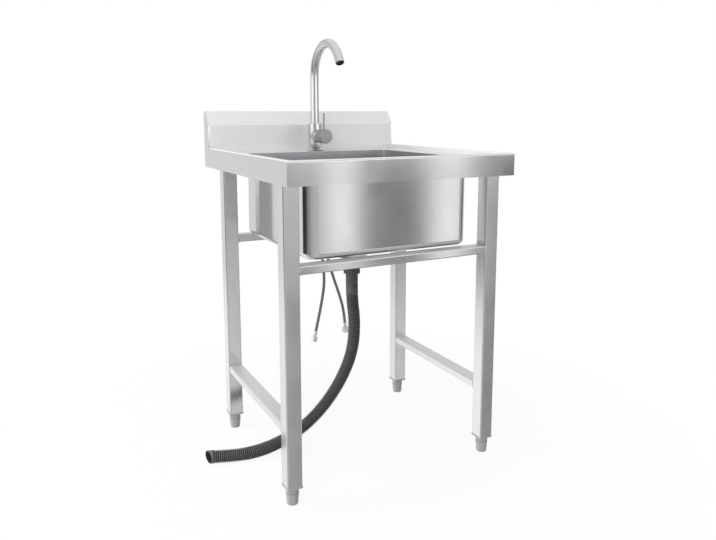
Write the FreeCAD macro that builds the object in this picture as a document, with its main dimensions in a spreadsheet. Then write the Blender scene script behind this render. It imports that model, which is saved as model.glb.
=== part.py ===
"""A freestanding stainless steel sink: sheet worktop with bowl, tube frame, lever tap and drain hose."""
import FreeCAD, Part
import math
import os
import Sketcher

Vector = FreeCAD.Vector

# Driving sizes in millimetres and degrees
SIZES = {
    # worktop and splashback
    "width": 600,
    "depth": 640,
    "worktop_height": 800,
    "apron_height": 55,
    "sheet": 1.2,
    "rim_width": 14,
    "rim_radius": 4.5,
    "rim_inner_radius": 3,
    "deck_drop": 12,
    "deck_corner": 12,
    "splash_depth": 45,
    "splash_bend": 64,
    "splash_height": 104,
    "splash_top_width": 15,
    "splash_bend_radius": 3,
    "stiffener_width": 10.5,
    "stiffener_height": 22,
    "stiffener_end_gap": 30,
    "stiffener_gap": 1.2,
    "weld_gap": 4,
    # bowl
    "bowl_front_margin": 78,
    "bowl_tap_gap": 1.5,
    "bowl_drop": 236,
    "bowl_wall": 1.2,
    "bowl_corner": 28,
    "bowl_floor_radius": 15,
    "bowl_flange": 10,
    # legs, rails and feet
    "leg_side": 38,
    "leg_wall": 1.5,
    "leg_corner": 3,
    "leg_inset": 8,
    "leg_front_setback": 45,
    "leg_rear_setback": 118,
    "socket_plate": 2,
    "socket_plate_side": 50,
    "socket_wall": 1.5,
    "socket_corner": 3.3,
    "socket_drop": 34,
    "socket_clearance": 0.3,
    "leg_screw_radius": 3,
    "leg_screw_head_radius": 5.5,
    "leg_screw_head": 4,
    "leg_screw_length": 12,
    "leg_screw_drop": 24,
    "screw_clearance": 0.1,
    "rail_width": 36,
    "rail_height": 20,
    "rail_wall": 1.2,
    "rail_corner": 2.5,
    "rail_bowl_gap": 0.5,
    "lower_rail_level": 182,
    "foot_height": 42,
    "foot_base_radius": 13.4,
    "foot_top_radius": 15.6,
    "foot_cup_height": 28,
    "foot_groove": 3,
    "foot_groove_depth": 1.6,
    "foot_edge": 1,
    "foot_gap": 0.3,
    "foot_stem_radius": 4.95,
    "foot_stem_length": 36,
    "foot_thread_clearance": 0.05,
    "insert_collar": 4,
    "insert_overhang": 1,
    "insert_plug_height": 24,
    "insert_clearance": 0.15,
    # tap
    "tap_setback": 110,
    "tap_hole_radius": 17.5,
    "tap_gasket_radius": 24,
    "tap_gasket": 1,
    "tap_base_radius": 25,
    "tap_base_height": 4,
    "tap_base_edge": 1.5,
    "tap_body_radius": 19.5,
    "tap_body_height": 76,
    "tap_body_edge": 1.2,
    "tap_waterway_radius": 5,
    "shank_radius": 14,
    "shank_bore": 11.5,
    "shank_length": 70,
    "shank_engagement": 12,
    "shank_clearance": 0.2,
    "tap_washer_radius": 20.5,
    "tap_clamp_clearance": 0.5,
    "tap_rubber_washer": 3,
    "tap_steel_washer": 2,
    "tap_nut_flats": 33,
    "tap_nut_height": 10,
    "spout_radius": 12.5,
    "spout_wall": 2,
    "spout_riser": 134,
    "spout_arch_radius": 86,
    "spout_arch_angle": 150,
    "spout_tail": 18,
    "spigot_radius": 10,
    "spigot_bore": 7,
    "spigot_gap": 4,
    "spigot_clearance": 0.05,
    "spout_lift": 0.3,
    "seal_height": 3,
    "seal_depth": 1.5,
    "seal_drop": 8,
    "aerator_length": 12,
    "aerator_lip": 1.5,
    "aerator_clearance": 0.1,
    "aerator_wall": 1.2,
    "aerator_screen": 2,
    "barrel_offset": 1,
    "barrel_radius": 18.5,
    "barrel_length": 38,
    "barrel_bore": 15,
    "cartridge_back": 6,
    "cartridge_length": 21.5,
    "cartridge_clearance": 0.1,
    "handle_pivot_reach": 46,
    "turntable_radius": 17.7,
    "turntable_back": 7.7,
    "turntable_spigot": 10.3,
    "turntable_clearance": 0.05,
    "stem_side": 6,
    "stem_back": 5,
    "stem_front": 26,
    "stem_clearance": 0.3,
    "stem_slot_down": 13,
    "stem_slot_up": 6,
    "stem_slot_back": 6.6,
    "stem_pin_radius": 1.5,
    "stem_pin_half": 16,
    "pin_clearance": 0.05,
    "cap_radius": 20,
    "cap_length": 33,
    "cap_cavity": 18.2,
    "cap_edge": 1.5,
    "socket_fit": 0.1,
    "lever_radius": 2.5,
    "lever_reach": 17,
    "lever_seat": 10,
    "lever_height": 66,
    "lever_tip": 1,
    "grub_radius": 2,
    "grub_reach": 22,
    "grub_length": 9,
    # drain
    "drain_hole_radius": 43,
    "drain_flange_radius": 56,
    "drain_flange": 2,
    "drain_flange_edge": 1.2,
    "drain_cup_radius": 42,
    "drain_cup_depth": 48,
    "drain_wall": 1.5,
    "drain_outlet_radius": 19,
    "drain_outlet_bore": 16.5,
    "drain_outlet_end": 86,
    "drain_gasket": 3,
    "drain_thread_clearance": 0.3,
    "lock_nut_height": 14,
    "lock_nut_radius": 53,
    "slip_nut_radius": 22.5,
    "slip_nut_top": 78,
    "slip_nut_foot": 96,
    "cuff_flange": 4,
    "cuff_flange_radius": 18.7,
    "cuff_top_radius": 17,
    "cuff_clearance": 0.3,
    "basket_radius": 39,
    "basket_wall": 1,
    "basket_height": 42,
    "basket_floor": 1.5,
    "basket_gap": 0.3,
    "basket_hole_radius": 2.6,
    "basket_hole_circle": 27,
    "basket_hole_count": 16,
    "basket_post_radius": 4,
    "basket_knob_radius": 10,
    "basket_knob_height": 5,
    "basket_knob_rise": 1,
    # hoses
    "hose_crest_radius": 16.5,
    "hose_root_radius": 14.6,
    "hose_bore": 12.5,
    "hose_rib_pitch": 4.8,
    "hose_drop": 123.2,
    "hose_floor_gap": 0.3,
    "supply_radius": 4.5,
    "ferrule_radius": 5.6,
    "ferrule_length": 17,
    "ferrule_neck_radius": 4.6,
    "ferrule_neck": 6,
    "ferrule_head_radius": 6.3,
    "ferrule_head": 2,
    "supply_nut_flats": 19,
    "supply_nut_height": 15,
    "supply_nut_thread": 7.5,
    "supply_nut_thread_depth": 7,
    "supply_nut_seat": 6.45,
    "supply_nut_seat_depth": 11,
    "supply_nut_clearance": 0.3,
}

# Centre line of the drain hose: from the drain's axis, and above its line on the floor
DRAIN_ROUTE = [
    (0, 0, 424.2), (0, 0, 384), (9, 0, 313.2), (3, 0, 238.2), (-22, 2, 173.2), (-62, 5, 111.2),
    (-112, 9, 59.2), (-168, 13, 23.2), (-226, 14, 3.2), (-285, 7, 0), (-340, 15, 0), (-398, 37, 0),
]
# Centre lines of the supply hoses: from the tap's axis, and below the worktop's top
SUPPLY_ROUTES = {
    "hot": [
        (-5.6, 0, -5), (-5.6, 0, 85), (-1, 3.5, 190), (16, 5, 295), (31, 4, 398), (20, 4, 478), (-1, 4, 564),
    ],
    "cold": [
        (5.6, 0, -5), (5.6, 0, 85), (12, 3.5, 188), (28, 5, 288), (53, 4, 385), (78, 4, 455), (94.5, 4, 510),
        (98, 4, 550),
    ],
}
HALF_TURN = 180
ARC_SHARE = 0.45
RIB_STATIONS = ((0.0, False), (0.2, True), (0.55, True), (0.75, False))

doc = FreeCAD.newDocument("Sink")
sheet = doc.addObject("Spreadsheet::Sheet", "Sizes")
for row, (name, number) in enumerate(SIZES.items(), 1):
    sheet.set(f"A{row}", name)
    sheet.set(f"B{row}", str(number))
    sheet.setAlias(f"B{row}", name)
doc.recompute()


class Term:
    """A length written with the sheet's words, together with its present value."""

    def __init__(self, text, number):
        self.text = text
        self.number = number

    def join(self, sign, other, number):
        return Term(f"({self.text} {sign} {other.text})", number)

    def __add__(self, other):
        other = as_term(other)
        return self.join("+", other, self.number + other.number)

    def __sub__(self, other):
        other = as_term(other)
        return self.join("-", other, self.number - other.number)

    def __mul__(self, other):
        other = as_term(other)
        return self.join("*", other, self.number * other.number)

    def __truediv__(self, other):
        other = as_term(other)
        return self.join("/", other, self.number / other.number)

    def __neg__(self):
        return as_term(0) - self

    def cosine(self):
        return Term(f"cos({self.text} * 1 deg)", math.cos(math.radians(self.number)))

    def sine(self):
        return Term(f"sin({self.text} * 1 deg)", math.sin(math.radians(self.number)))


class SizeBook:
    """Hands out the sheet's sizes by name."""

    def __getattr__(self, name):
        return Term(f"Sizes.{name}", float(sheet.get(name)))


def as_term(value):
    return value if isinstance(value, Term) else Term(repr(value), value)


size = SizeBook()
pieces = {}


def bind(item, target, value):
    item.setExpression(target, as_term(value).text)


def place(item, x, y, z):
    for axis, value in zip("xyz", (x, y, z)):
        bind(item, f"Placement.Base.{axis}", value)
    return item


# Turns that point an object's own Z axis along a direction of the frame
TURNS = {
    "+z": FreeCAD.Rotation(),
    "-z": FreeCAD.Rotation(Vector(1, 0, 0), 180),
    "+x": FreeCAD.Rotation(Vector(0, 1, 0), 90),
    "-x": FreeCAD.Rotation(Vector(0, 1, 0), -90),
    "-y": FreeCAD.Rotation(Vector(1, 0, 0), 90),
    "-y, seam up": FreeCAD.Rotation(Vector(0, 0, 1), Vector(-1, 0, 0), Vector(0, -1, 0), "ZXY"),
}


def point_along(item, direction, x, y, z):
    item.Placement = FreeCAD.Placement(Vector(), TURNS[direction])
    return place(item, x, y, z)


def keep(label, item):
    item.Label = label
    pieces[label] = item
    return item


# Solids made from primitives and booleans
def box(name, low, span):
    item = doc.addObject("Part::Box", name)
    for target, value in zip(("Length", "Width", "Height"), span):
        bind(item, target, value)
    return place(item, *low)


def centred_box(name, side_x, side_y, height, x, y, z):
    return box(name, (x - side_x / 2, y - side_y / 2, z), (side_x, side_y, height))


def rod(name, radius, length, at, direction="+z"):
    item = doc.addObject("Part::Cylinder", name)
    bind(item, "Radius", radius)
    bind(item, "Height", length)
    return point_along(item, direction, *at)


def ball(name, radius, at):
    item = doc.addObject("Part::Sphere", name)
    bind(item, "Radius", radius)
    return point_along(item, "-y, seam up", *at)


def cut(name, base, *tools):
    for number, tool in enumerate(tools):
        item = doc.addObject("Part::Cut", f"{name}_cut_{number}")
        item.Base = base
        item.Tool = tool
        base = item
    return base


def fuse(name, *items):
    item = doc.addObject("Part::MultiFuse", f"{name}_fuse")
    item.Shapes = list(items)
    item.Refine = True
    return item


def gather(name, items):
    item = doc.addObject("Part::Compound", f"{name}_group")
    item.Links = list(items)
    return item


def round_edges(name, base, radius, test):
    doc.recompute()
    item = doc.addObject("Part::Fillet", f"{name}_round")
    item.Base = base
    chosen = [number for number, edge in enumerate(base.Shape.Edges, 1) if test(edge)]
    item.Edges = [(number, radius.number, radius.number) for number in chosen]
    return item


# Bodies made from sketches
def new_body(name):
    return doc.addObject("PartDesign::Body", f"{name}_body")


def sketch_in(body, role, name, lift=None):
    sketch = body.newObject("Sketcher::SketchObject", name)
    plane = [feature for feature in body.Origin.OriginFeatures if feature.Role == role][0]
    sketch.AttachmentSupport = [(plane, "")]
    sketch.MapMode = "FlatFace"
    if lift is not None:
        bind(sketch, "AttachmentOffset.Base.z", lift)
    return sketch


def fix_distance(sketch, kind, geometry, corner, value):
    value = as_term(value)
    index = sketch.addConstraint(Sketcher.Constraint(kind, -1, 1, geometry, corner, value.number))
    bind(sketch, f"Constraints[{index}]", value)


def fix_point(sketch, geometry, corner, x, y):
    fix_distance(sketch, "DistanceX", geometry, corner, x)
    fix_distance(sketch, "DistanceY", geometry, corner, y)


def outline(sketch, points):
    """Draws a closed outline whose corners are held by the sheet's sizes."""
    corners = [Vector(as_term(x).number, as_term(y).number, 0) for x, y in points]
    first = sketch.GeometryCount
    count = len(corners)
    for step in range(count):
        sketch.addGeometry(Part.LineSegment(corners[step], corners[(step + 1) % count]))
    for step in range(count):
        following = first + (step + 1) % count
        sketch.addConstraint(Sketcher.Constraint("Coincident", first + step, 2, following, 1))
    for step, (x, y) in enumerate(points):
        fix_point(sketch, first + step, 1, x, y)


def rectangle(sketch, x0, y0, x1, y1):
    outline(sketch, [(x0, y0), (x1, y0), (x1, y1), (x0, y1)])


def circle(sketch, radius, x=0, y=0):
    shape = Part.Circle(Vector(as_term(x).number, as_term(y).number, 0), Vector(0, 0, 1), radius.number)
    geometry = sketch.addGeometry(shape)
    index = sketch.addConstraint(Sketcher.Constraint("Radius", geometry, radius.number))
    bind(sketch, f"Constraints[{index}]", radius)
    fix_point(sketch, geometry, 3, x, y)


def add_feature(body, kind, name, sketch, length):
    feature = body.newObject(f"PartDesign::{kind}", name)
    feature.Profile = sketch
    bind(feature, "Length", length)
    return feature


def lathe(name, points):
    """A body of revolution from its half outline, given as radius and height."""
    body = new_body(name)
    sketch = sketch_in(body, "XZ_Plane", f"{name}_half")
    outline(sketch, points)
    revolution = body.newObject("PartDesign::Revolution", f"{name}_turn")
    revolution.Profile = sketch
    revolution.ReferenceAxis = (sketch, ["V_Axis"])
    revolution.Angle = 360
    return body


def turned(name, points, x, y, z, direction="+z"):
    return point_along(lathe(name, points), direction, x, y, z)


def ring_outline(inner, outer, low, high):
    return [(inner, low), (outer, low), (outer, high), (inner, high)]


SAME = 0.01


def near(value, term):
    return abs(value - term.number) < SAME


def edge_spans(edge, axis):
    bounds = edge.BoundBox
    low = {"x": bounds.XMin, "y": bounds.YMin, "z": bounds.ZMin}
    high = {"x": bounds.XMax, "y": bounds.YMax, "z": bounds.ZMax}
    return low[axis], high[axis]


def lies_at(edge, axis, term):
    low, high = edge_spans(edge, axis)
    return near(low, term) and near(high, term)


def is_upright(edge):
    low, high = edge_spans(edge, "z")
    return high - low > 1


def round_body_edges(body, name, base, radius, test):
    fillet = body.newObject("PartDesign::Fillet", name)
    fillet.Base = (base, [f"Edge{number}" for number, edge in enumerate(base.Shape.Edges, 1) if test(edge)])
    bind(fillet, "Radius", radius)
    doc.recompute()
    return fillet


SECTION_AXES = {"XY_Plane": "xy", "YZ_Plane": "yz", "XZ_Plane": "xz"}


def tube(name, role, side_a, side_b, wall, corner, length, x, y, z):
    """A square or oblong tube with rounded corners, padded along the plane's normal."""
    body = new_body(name)
    sketch = sketch_in(body, role, f"{name}_section")
    walls = {"outer": as_term(0), "inner": wall}
    for inset in walls.values():
        half_a = side_a / 2 - inset
        half_b = side_b / 2 - inset
        rectangle(sketch, -half_a, -half_b, half_a, half_b)
    shape = add_feature(body, "Pad", f"{name}_length", sketch, length)
    doc.recompute()
    for side, inset in walls.items():
        halves = [side_a / 2 - inset, side_b / 2 - inset]

        def is_corner(edge):
            found = [lies_at(edge, axis, half) or lies_at(edge, axis, -half)
                     for axis, half in zip(SECTION_AXES[role], halves)]
            return all(found)

        shape = round_body_edges(body, f"{name}_{side}_corners", shape, corner - inset, is_corner)
    return place(body, x, y, z)


def hexagon(sketch, flats):
    reach = flats / math.sqrt(3)
    half = flats / 2
    outline(sketch, [(reach, 0), (reach / 2, half), (-reach / 2, half), (-reach, 0), (-reach / 2, -half),
                     (reach / 2, -half)])


# Shared levels and lines of the sink
half_width = size.width / 2
front = -size.depth / 2
rear = size.depth / 2
top = size.worktop_height
apron_foot = top - size.apron_height
deck = top - size.deck_drop
deck_under = deck - size.sheet
splash_face = rear - size.splash_depth
leg_x = half_width - size.leg_inset - size.leg_side / 2
leg_front_y = front + size.leg_front_setback + size.leg_side / 2
leg_rear_y = rear - size.leg_rear_setback - size.leg_side / 2
leg_foot = size.foot_height + size.insert_collar
leg_top = deck_under - size.socket_plate
socket_side = size.leg_side + size.socket_clearance * 2 + size.socket_wall * 2
tap_y = rear - size.tap_setback
stiffener_x = leg_x - socket_side / 2 - size.leg_screw_head - size.stiffener_gap - size.stiffener_width / 2
bowl_half = stiffener_x - size.stiffener_width / 2 - size.weld_gap - size.bowl_flange
bowl_width = bowl_half * 2
bowl_front = front + size.bowl_front_margin
bowl_rear = tap_y - size.tap_washer_radius - size.bowl_tap_gap
bowl_length = bowl_rear - bowl_front
bowl_y = (bowl_front + bowl_rear) / 2
bowl_foot = top - size.bowl_drop
bowl_floor = bowl_foot + size.bowl_wall


# Worktop: one folded sheet with sunk deck, raised rim, aprons and splashback
def worktop_form(name, inset, foot, back):
    """The worktop's outer form, or with an inset the space under the folded sheet."""
    body = new_body(name)
    side = sketch_in(body, "YZ_Plane", f"{name}_side")
    form_front = front + inset
    form_top = top - inset
    face = splash_face + inset
    splash_top = top + size.splash_height - inset
    ridge = rear - size.splash_top_width + inset
    outline(side, [
        (form_front, foot), (form_front, form_top), (face, form_top), (face, top + size.splash_bend),
        (ridge, splash_top), (back, splash_top), (back, foot),
    ])
    form_width = size.width - inset * 2
    block = add_feature(body, "Pad", f"{name}_block", side, form_width)
    plan = sketch_in(body, "XY_Plane", f"{name}_deck_plan", form_top)
    rim = size.rim_width - inset * 2
    rim_front = form_front + rim
    rectangle(plan, rim, rim_front, form_width - rim, face)
    sunk = add_feature(body, "Pocket", f"{name}_deck", plan, size.deck_drop)
    doc.recompute()
    assert sunk.Shape.Volume < block.Shape.Volume - 1

    def is_deck_corner(edge):
        low, high = edge_spans(edge, "z")
        return near(low, deck - inset) and near(high, form_top) and lies_at(edge, "y", rim_front)

    corners = round_body_edges(body, f"{name}_corners", sunk, size.deck_corner + inset, is_deck_corner)

    def is_outer_rim(edge):
        on_side = lies_at(edge, "x", as_term(0)) or lies_at(edge, "x", form_width)
        return lies_at(edge, "z", form_top) and (on_side or lies_at(edge, "y", form_front))

    rolled = round_body_edges(body, f"{name}_rolled", corners, size.rim_radius - inset, is_outer_rim)

    def is_inner_rim(edge):
        x_low, x_high = edge_spans(edge, "x")
        y_low, y_high = edge_spans(edge, "y")
        beside = x_low > rim.number - SAME and x_high < form_width.number - rim.number + SAME
        behind = y_low > rim_front.number - SAME and y_high < face.number + SAME
        return lies_at(edge, "z", form_top) and beside and behind

    eased = round_body_edges(body, f"{name}_eased", rolled, size.rim_inner_radius - inset, is_inner_rim)

    def is_splash_bend(edge):
        lower = lies_at(edge, "y", face) and lies_at(edge, "z", top + size.splash_bend)
        upper = lies_at(edge, "y", ridge) and lies_at(edge, "z", splash_top)
        return lower or upper

    round_body_edges(body, f"{name}_bends", eased, size.splash_bend_radius - inset, is_splash_bend)
    return place(body, inset - half_width, 0, 0)


# Bowl: drawn shell with a flange that is welded under the deck
def bowl_block(name, inset, height):
    side_x = bowl_width - inset * 2
    side_y = bowl_length - inset * 2
    block = centred_box(f"{name}_block", side_x, side_y, height, as_term(0), bowl_y, bowl_foot + inset)
    uprights = round_edges(f"{name}_uprights", block, size.bowl_corner - inset, is_upright)

    def is_foot(edge):
        return lies_at(edge, "z", bowl_foot + inset)

    return round_edges(f"{name}_foot", uprights, size.bowl_floor_radius - inset, is_foot)


bowl_space = bowl_block("bowl_space", size.bowl_wall, size.bowl_drop + size.deck_drop)
bowl_outside = bowl_block("bowl_outside", as_term(0), deck_under - bowl_foot)
bowl_flange = centred_box("bowl_flange", bowl_width + size.bowl_flange * 2,
                          bowl_length + size.bowl_flange * 2, size.sheet, as_term(0), bowl_y,
                          deck_under - size.sheet)
drain_hole = rod("drain_hole", size.drain_hole_radius, size.bowl_wall * 4,
                 (0, bowl_y, bowl_foot - size.bowl_wall))
clamp_notch = rod("clamp_notch", size.tap_washer_radius + size.tap_clamp_clearance, size.sheet,
                  (0, tap_y, deck_under - size.sheet))
keep("bowl", cut("bowl", fuse("bowl", bowl_outside, bowl_flange), bowl_space, drain_hole, clamp_notch))
tap_hole = rod("tap_hole", size.tap_hole_radius, size.sheet * 3, (0, tap_y, deck_under - size.sheet))
worktop_outside = worktop_form("worktop_outside", as_term(0), apron_foot, rear)
worktop_space = worktop_form("worktop_space", size.sheet, apron_foot - size.sheet, rear + size.sheet)
keep("worktop", cut("worktop", worktop_outside, worktop_space, bowl_space, tap_hole))
panel_height = size.apron_height + size.splash_height - size.sheet
keep("splash_rear_panel", box("splash_rear_panel", (size.sheet - half_width, rear - size.sheet, apron_foot),
                              (size.width - size.sheet * 2, size.sheet, panel_height)))

# Hat channels under the deck, beside the bowl
stiffener_length = leg_rear_y - leg_front_y + size.leg_side + size.stiffener_end_gap * 2
for side, sign in (("left", -1), ("right", 1)):
    channel_x = stiffener_x * sign
    channel_y = (leg_front_y + leg_rear_y) / 2
    channel = centred_box(f"stiffener_{side}_out", size.stiffener_width, stiffener_length,
                          size.stiffener_height, channel_x, channel_y, deck_under - size.stiffener_height)
    hollow = centred_box(f"stiffener_{side}_in", size.stiffener_width - size.sheet * 2,
                         stiffener_length + size.sheet * 2, size.stiffener_height, channel_x, channel_y,
                         deck_under - size.stiffener_height + size.sheet)
    keep(f"stiffener_{side}", cut(f"stiffener_{side}", channel, hollow))

# Legs with their sockets, screws, plugs and levelling feet
CORNERS = {
    "front_left": (-1, leg_front_y), "front_right": (1, leg_front_y),
    "rear_left": (-1, leg_rear_y), "rear_right": (1, leg_rear_y),
}
screw_level = leg_top - size.leg_screw_drop
leg_screws = []
for corner, (sign, corner_y) in CORNERS.items():
    corner_x = leg_x * sign
    inward = "-x" if sign > 0 else "+x"
    outward = "+x" if sign > 0 else "-x"
    socket_face = corner_x - socket_side / 2 * sign
    screw_hole = rod(f"{corner}_screw_hole", size.leg_screw_radius + size.screw_clearance,
                     size.leg_screw_length,
                     (socket_face - size.screw_clearance * sign, corner_y, screw_level), outward)
    leg = tube(f"leg_{corner}", "XY_Plane", size.leg_side, size.leg_side, size.leg_wall, size.leg_corner,
               leg_top - leg_foot, corner_x, corner_y, leg_foot)
    keep(f"leg_{corner}", cut(f"leg_{corner}", leg, screw_hole))
    sleeve = tube(f"leg_socket_{corner}", "XY_Plane", socket_side, socket_side, size.socket_wall,
                  size.socket_corner, size.socket_drop, corner_x, corner_y, leg_top - size.socket_drop)
    plate = centred_box(f"{corner}_plate", socket_side, size.socket_plate_side, size.socket_plate, corner_x,
                        corner_y, leg_top)
    socket = fuse(f"leg_socket_{corner}", sleeve, plate)
    keep(f"leg_socket_{corner}", cut(f"leg_socket_{corner}", socket, screw_hole))
    shaft = rod(f"{corner}_screw_shaft", size.leg_screw_radius,
                size.leg_screw_length - size.screw_clearance * 2,
                (socket_face, corner_y, screw_level), outward)
    head = rod(f"{corner}_screw_head", size.leg_screw_head_radius, size.leg_screw_head,
               (socket_face, corner_y, screw_level), inward)
    leg_screws.append(fuse(f"leg_screw_{corner}", shaft, head))
    collar_side = size.leg_side + size.insert_overhang * 2
    collar = centred_box(f"{corner}_collar", collar_side, collar_side, size.insert_collar, corner_x, corner_y,
                         size.foot_height)
    collar = round_edges(f"{corner}_collar", collar, size.leg_corner + size.insert_overhang, is_upright)
    plug_side = size.leg_side - size.leg_wall * 2 - size.insert_clearance * 2
    plug = centred_box(f"{corner}_plug", plug_side, plug_side, size.insert_plug_height, corner_x, corner_y,
                       leg_foot)
    plug = round_edges(f"{corner}_plug", plug, size.leg_corner - size.leg_wall, is_upright)
    thread = rod(f"{corner}_thread", size.foot_stem_radius + size.foot_thread_clearance,
                 size.insert_collar + size.insert_plug_height, (corner_x, corner_y, size.foot_height))
    insert = fuse(f"leg_insert_{corner}", collar, plug)
    keep(f"leg_insert_{corner}", cut(f"leg_insert_{corner}", insert, thread))
    foot_top = size.foot_height - size.foot_gap
    groove_top = size.foot_cup_height + size.foot_groove
    groove_radius = size.foot_top_radius - size.foot_groove_depth
    stem_top = foot_top + size.foot_stem_length
    keep(f"foot_{corner}", turned(f"foot_{corner}", [
        (0, 0), (size.foot_base_radius - size.foot_edge, 0), (size.foot_base_radius, size.foot_edge),
        (size.foot_top_radius, size.foot_cup_height), (groove_radius, size.foot_cup_height),
        (groove_radius, groove_top), (size.foot_top_radius, groove_top),
        (size.foot_top_radius, foot_top), (size.foot_stem_radius, foot_top),
        (size.foot_stem_radius, stem_top), (0, stem_top),
    ], corner_x, corner_y, 0))
keep("leg_screws", gather("leg_screws", leg_screws))

# Cross tubes between the legs
cross_length = (leg_x - size.leg_side / 2) * 2
upper_rail_level = bowl_foot - size.rail_bowl_gap - size.rail_height / 2
for side, rail_y in (("front", leg_front_y), ("rear", leg_rear_y)):
    keep(f"rail_{side}", tube(f"rail_{side}", "YZ_Plane", size.rail_width, size.rail_height, size.rail_wall,
                              size.rail_corner, cross_length, -cross_length / 2, rail_y,
                              upper_rail_level))
side_length = leg_rear_y - leg_front_y - size.leg_side
for side, sign in (("left", -1), ("right", 1)):
    keep(f"rail_{side}", tube(f"rail_{side}", "XZ_Plane", size.rail_width, size.rail_height, size.rail_wall,
                              size.rail_corner, side_length, leg_x * sign, leg_rear_y - size.leg_side / 2,
                              size.lower_rail_level))

# Tap: base, body and what clamps it to the deck
base_low = deck + size.tap_gasket
body_low = base_low + size.tap_base_height
body_top = body_low + size.tap_body_height
barrel_z = body_low + size.tap_body_height / 2 + size.barrel_offset
spigot_low = barrel_z + size.barrel_bore + size.spigot_gap
shank_hole = size.shank_radius + size.shank_clearance
tap_gasket = ring_outline(shank_hole, size.tap_gasket_radius, deck, base_low)
keep("tap_gasket", turned("tap_gasket", tap_gasket, 0, tap_y, 0))
keep("tap_base_ring", turned("tap_base_ring", [
    (shank_hole, base_low), (size.tap_base_radius, base_low),
    (size.tap_base_radius, body_low - size.tap_base_edge),
    (size.tap_base_radius - size.tap_base_edge, body_low), (shank_hole, body_low),
], 0, tap_y, 0))
body_edge = body_top - size.tap_body_edge
column = turned("tap_column", [
    (0, body_low), (size.tap_body_radius, body_low), (size.tap_body_radius, body_edge),
    (size.tap_body_radius - size.tap_body_edge, body_top), (0, body_top),
], 0, tap_y, 0)
barrel = rod("tap_barrel", size.barrel_radius, size.barrel_length, (0, tap_y, barrel_z), "-y")
cartridge_y = tap_y - size.cartridge_back
barrel_bore = rod("tap_barrel_bore", size.barrel_bore, size.barrel_length, (0, cartridge_y, barrel_z), "-y")
spigot_seat = spigot_low - size.spout_lift
spigot_bore = rod("tap_spigot_bore", size.spigot_radius + size.spigot_clearance, body_top - spigot_seat,
                  (0, tap_y, spigot_seat))
shank_bore = rod("tap_shank_bore", shank_hole, size.shank_engagement, (0, tap_y, body_low))
waterway = rod("tap_waterway", size.tap_waterway_radius, size.tap_body_height, (0, tap_y, body_low))
tap_casting = fuse("tap_body", column, barrel)
keep("tap_body", cut("tap_body", tap_casting, barrel_bore, spigot_bore, shank_bore, waterway))
shank_top = body_low + size.shank_engagement
tap_shank = ring_outline(size.shank_bore, size.shank_radius, shank_top - size.shank_length, shank_top)
keep("tap_shank", turned("tap_shank", tap_shank, 0, tap_y, 0))
rubber_low = deck_under - size.tap_rubber_washer
steel_low = rubber_low - size.tap_steel_washer
rubber_washer = ring_outline(shank_hole, size.tap_washer_radius, rubber_low, deck_under)
keep("tap_rubber_washer", turned("tap_rubber_washer", rubber_washer, 0, tap_y, 0))
steel_washer = ring_outline(shank_hole, size.tap_washer_radius, steel_low, rubber_low)
keep("tap_steel_washer", turned("tap_steel_washer", steel_washer, 0, tap_y, 0))


def hex_nut(name, flats, height, bore):
    body = new_body(name)
    sketch = sketch_in(body, "XY_Plane", f"{name}_flats")
    hexagon(sketch, flats)
    circle(sketch, bore)
    add_feature(body, "Pad", f"{name}_height", sketch, height)
    return body


mounting_nut = hex_nut("tap_mounting_nut", size.tap_nut_flats, size.tap_nut_height, shank_hole)
keep("tap_mounting_nut", place(mounting_nut, 0, tap_y, steel_low - size.tap_nut_height))

# Swivel spout with its seal and aerator
spout_low = body_top + size.spout_lift
riser_top = spout_low + size.spout_riser
arch_y = tap_y - size.spout_arch_radius
droop = size.spout_arch_angle
arch_end_y = arch_y + size.spout_arch_radius * droop.cosine()
arch_end_z = riser_top + size.spout_arch_radius * droop.sine()
outlet_y = arch_end_y - size.spout_tail * droop.sine()
outlet_z = arch_end_z + size.spout_tail * droop.cosine()


def bend_spout():
    body = new_body("tap_spout_pipe")
    section = sketch_in(body, "XY_Plane", "spout_section")
    circle(section, size.spout_radius)
    circle(section, size.spout_radius - size.spout_wall)
    path = sketch_in(body, "YZ_Plane", "spout_path")
    riser = size.spout_riser.number
    radius = size.spout_arch_radius.number
    angle = math.radians(droop.number)
    arch_end = Vector(radius * (math.cos(angle) - 1), riser + radius * math.sin(angle), 0)
    tail = size.spout_tail.number
    tail_end = arch_end + Vector(-math.sin(angle), math.cos(angle), 0) * tail
    path.addGeometry(Part.LineSegment(Vector(0, 0, 0), Vector(0, riser, 0)))
    arch = Part.Circle(Vector(-radius, riser, 0), Vector(0, 0, 1), radius)
    path.addGeometry(Part.ArcOfCircle(arch, 0, angle))
    path.addGeometry(Part.LineSegment(arch_end, tail_end))
    fix_point(path, 0, 1, 0, 0)
    fix_point(path, 0, 2, 0, size.spout_riser)
    path.addConstraint(Sketcher.Constraint("Coincident", 0, 2, 1, 1))
    fix_point(path, 1, 3, -size.spout_arch_radius, size.spout_riser)
    fix_distance(path, "DistanceX", 1, 2, arch_end_y - tap_y)
    path.addConstraint(Sketcher.Constraint("Coincident", 1, 2, 2, 1))
    fix_point(path, 2, 2, outlet_y - tap_y, outlet_z - spout_low)
    pipe = body.newObject("PartDesign::AdditivePipe", "spout_pipe")
    pipe.Profile = section
    pipe.Spine = path
    return place(body, 0, tap_y, spout_low)


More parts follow.
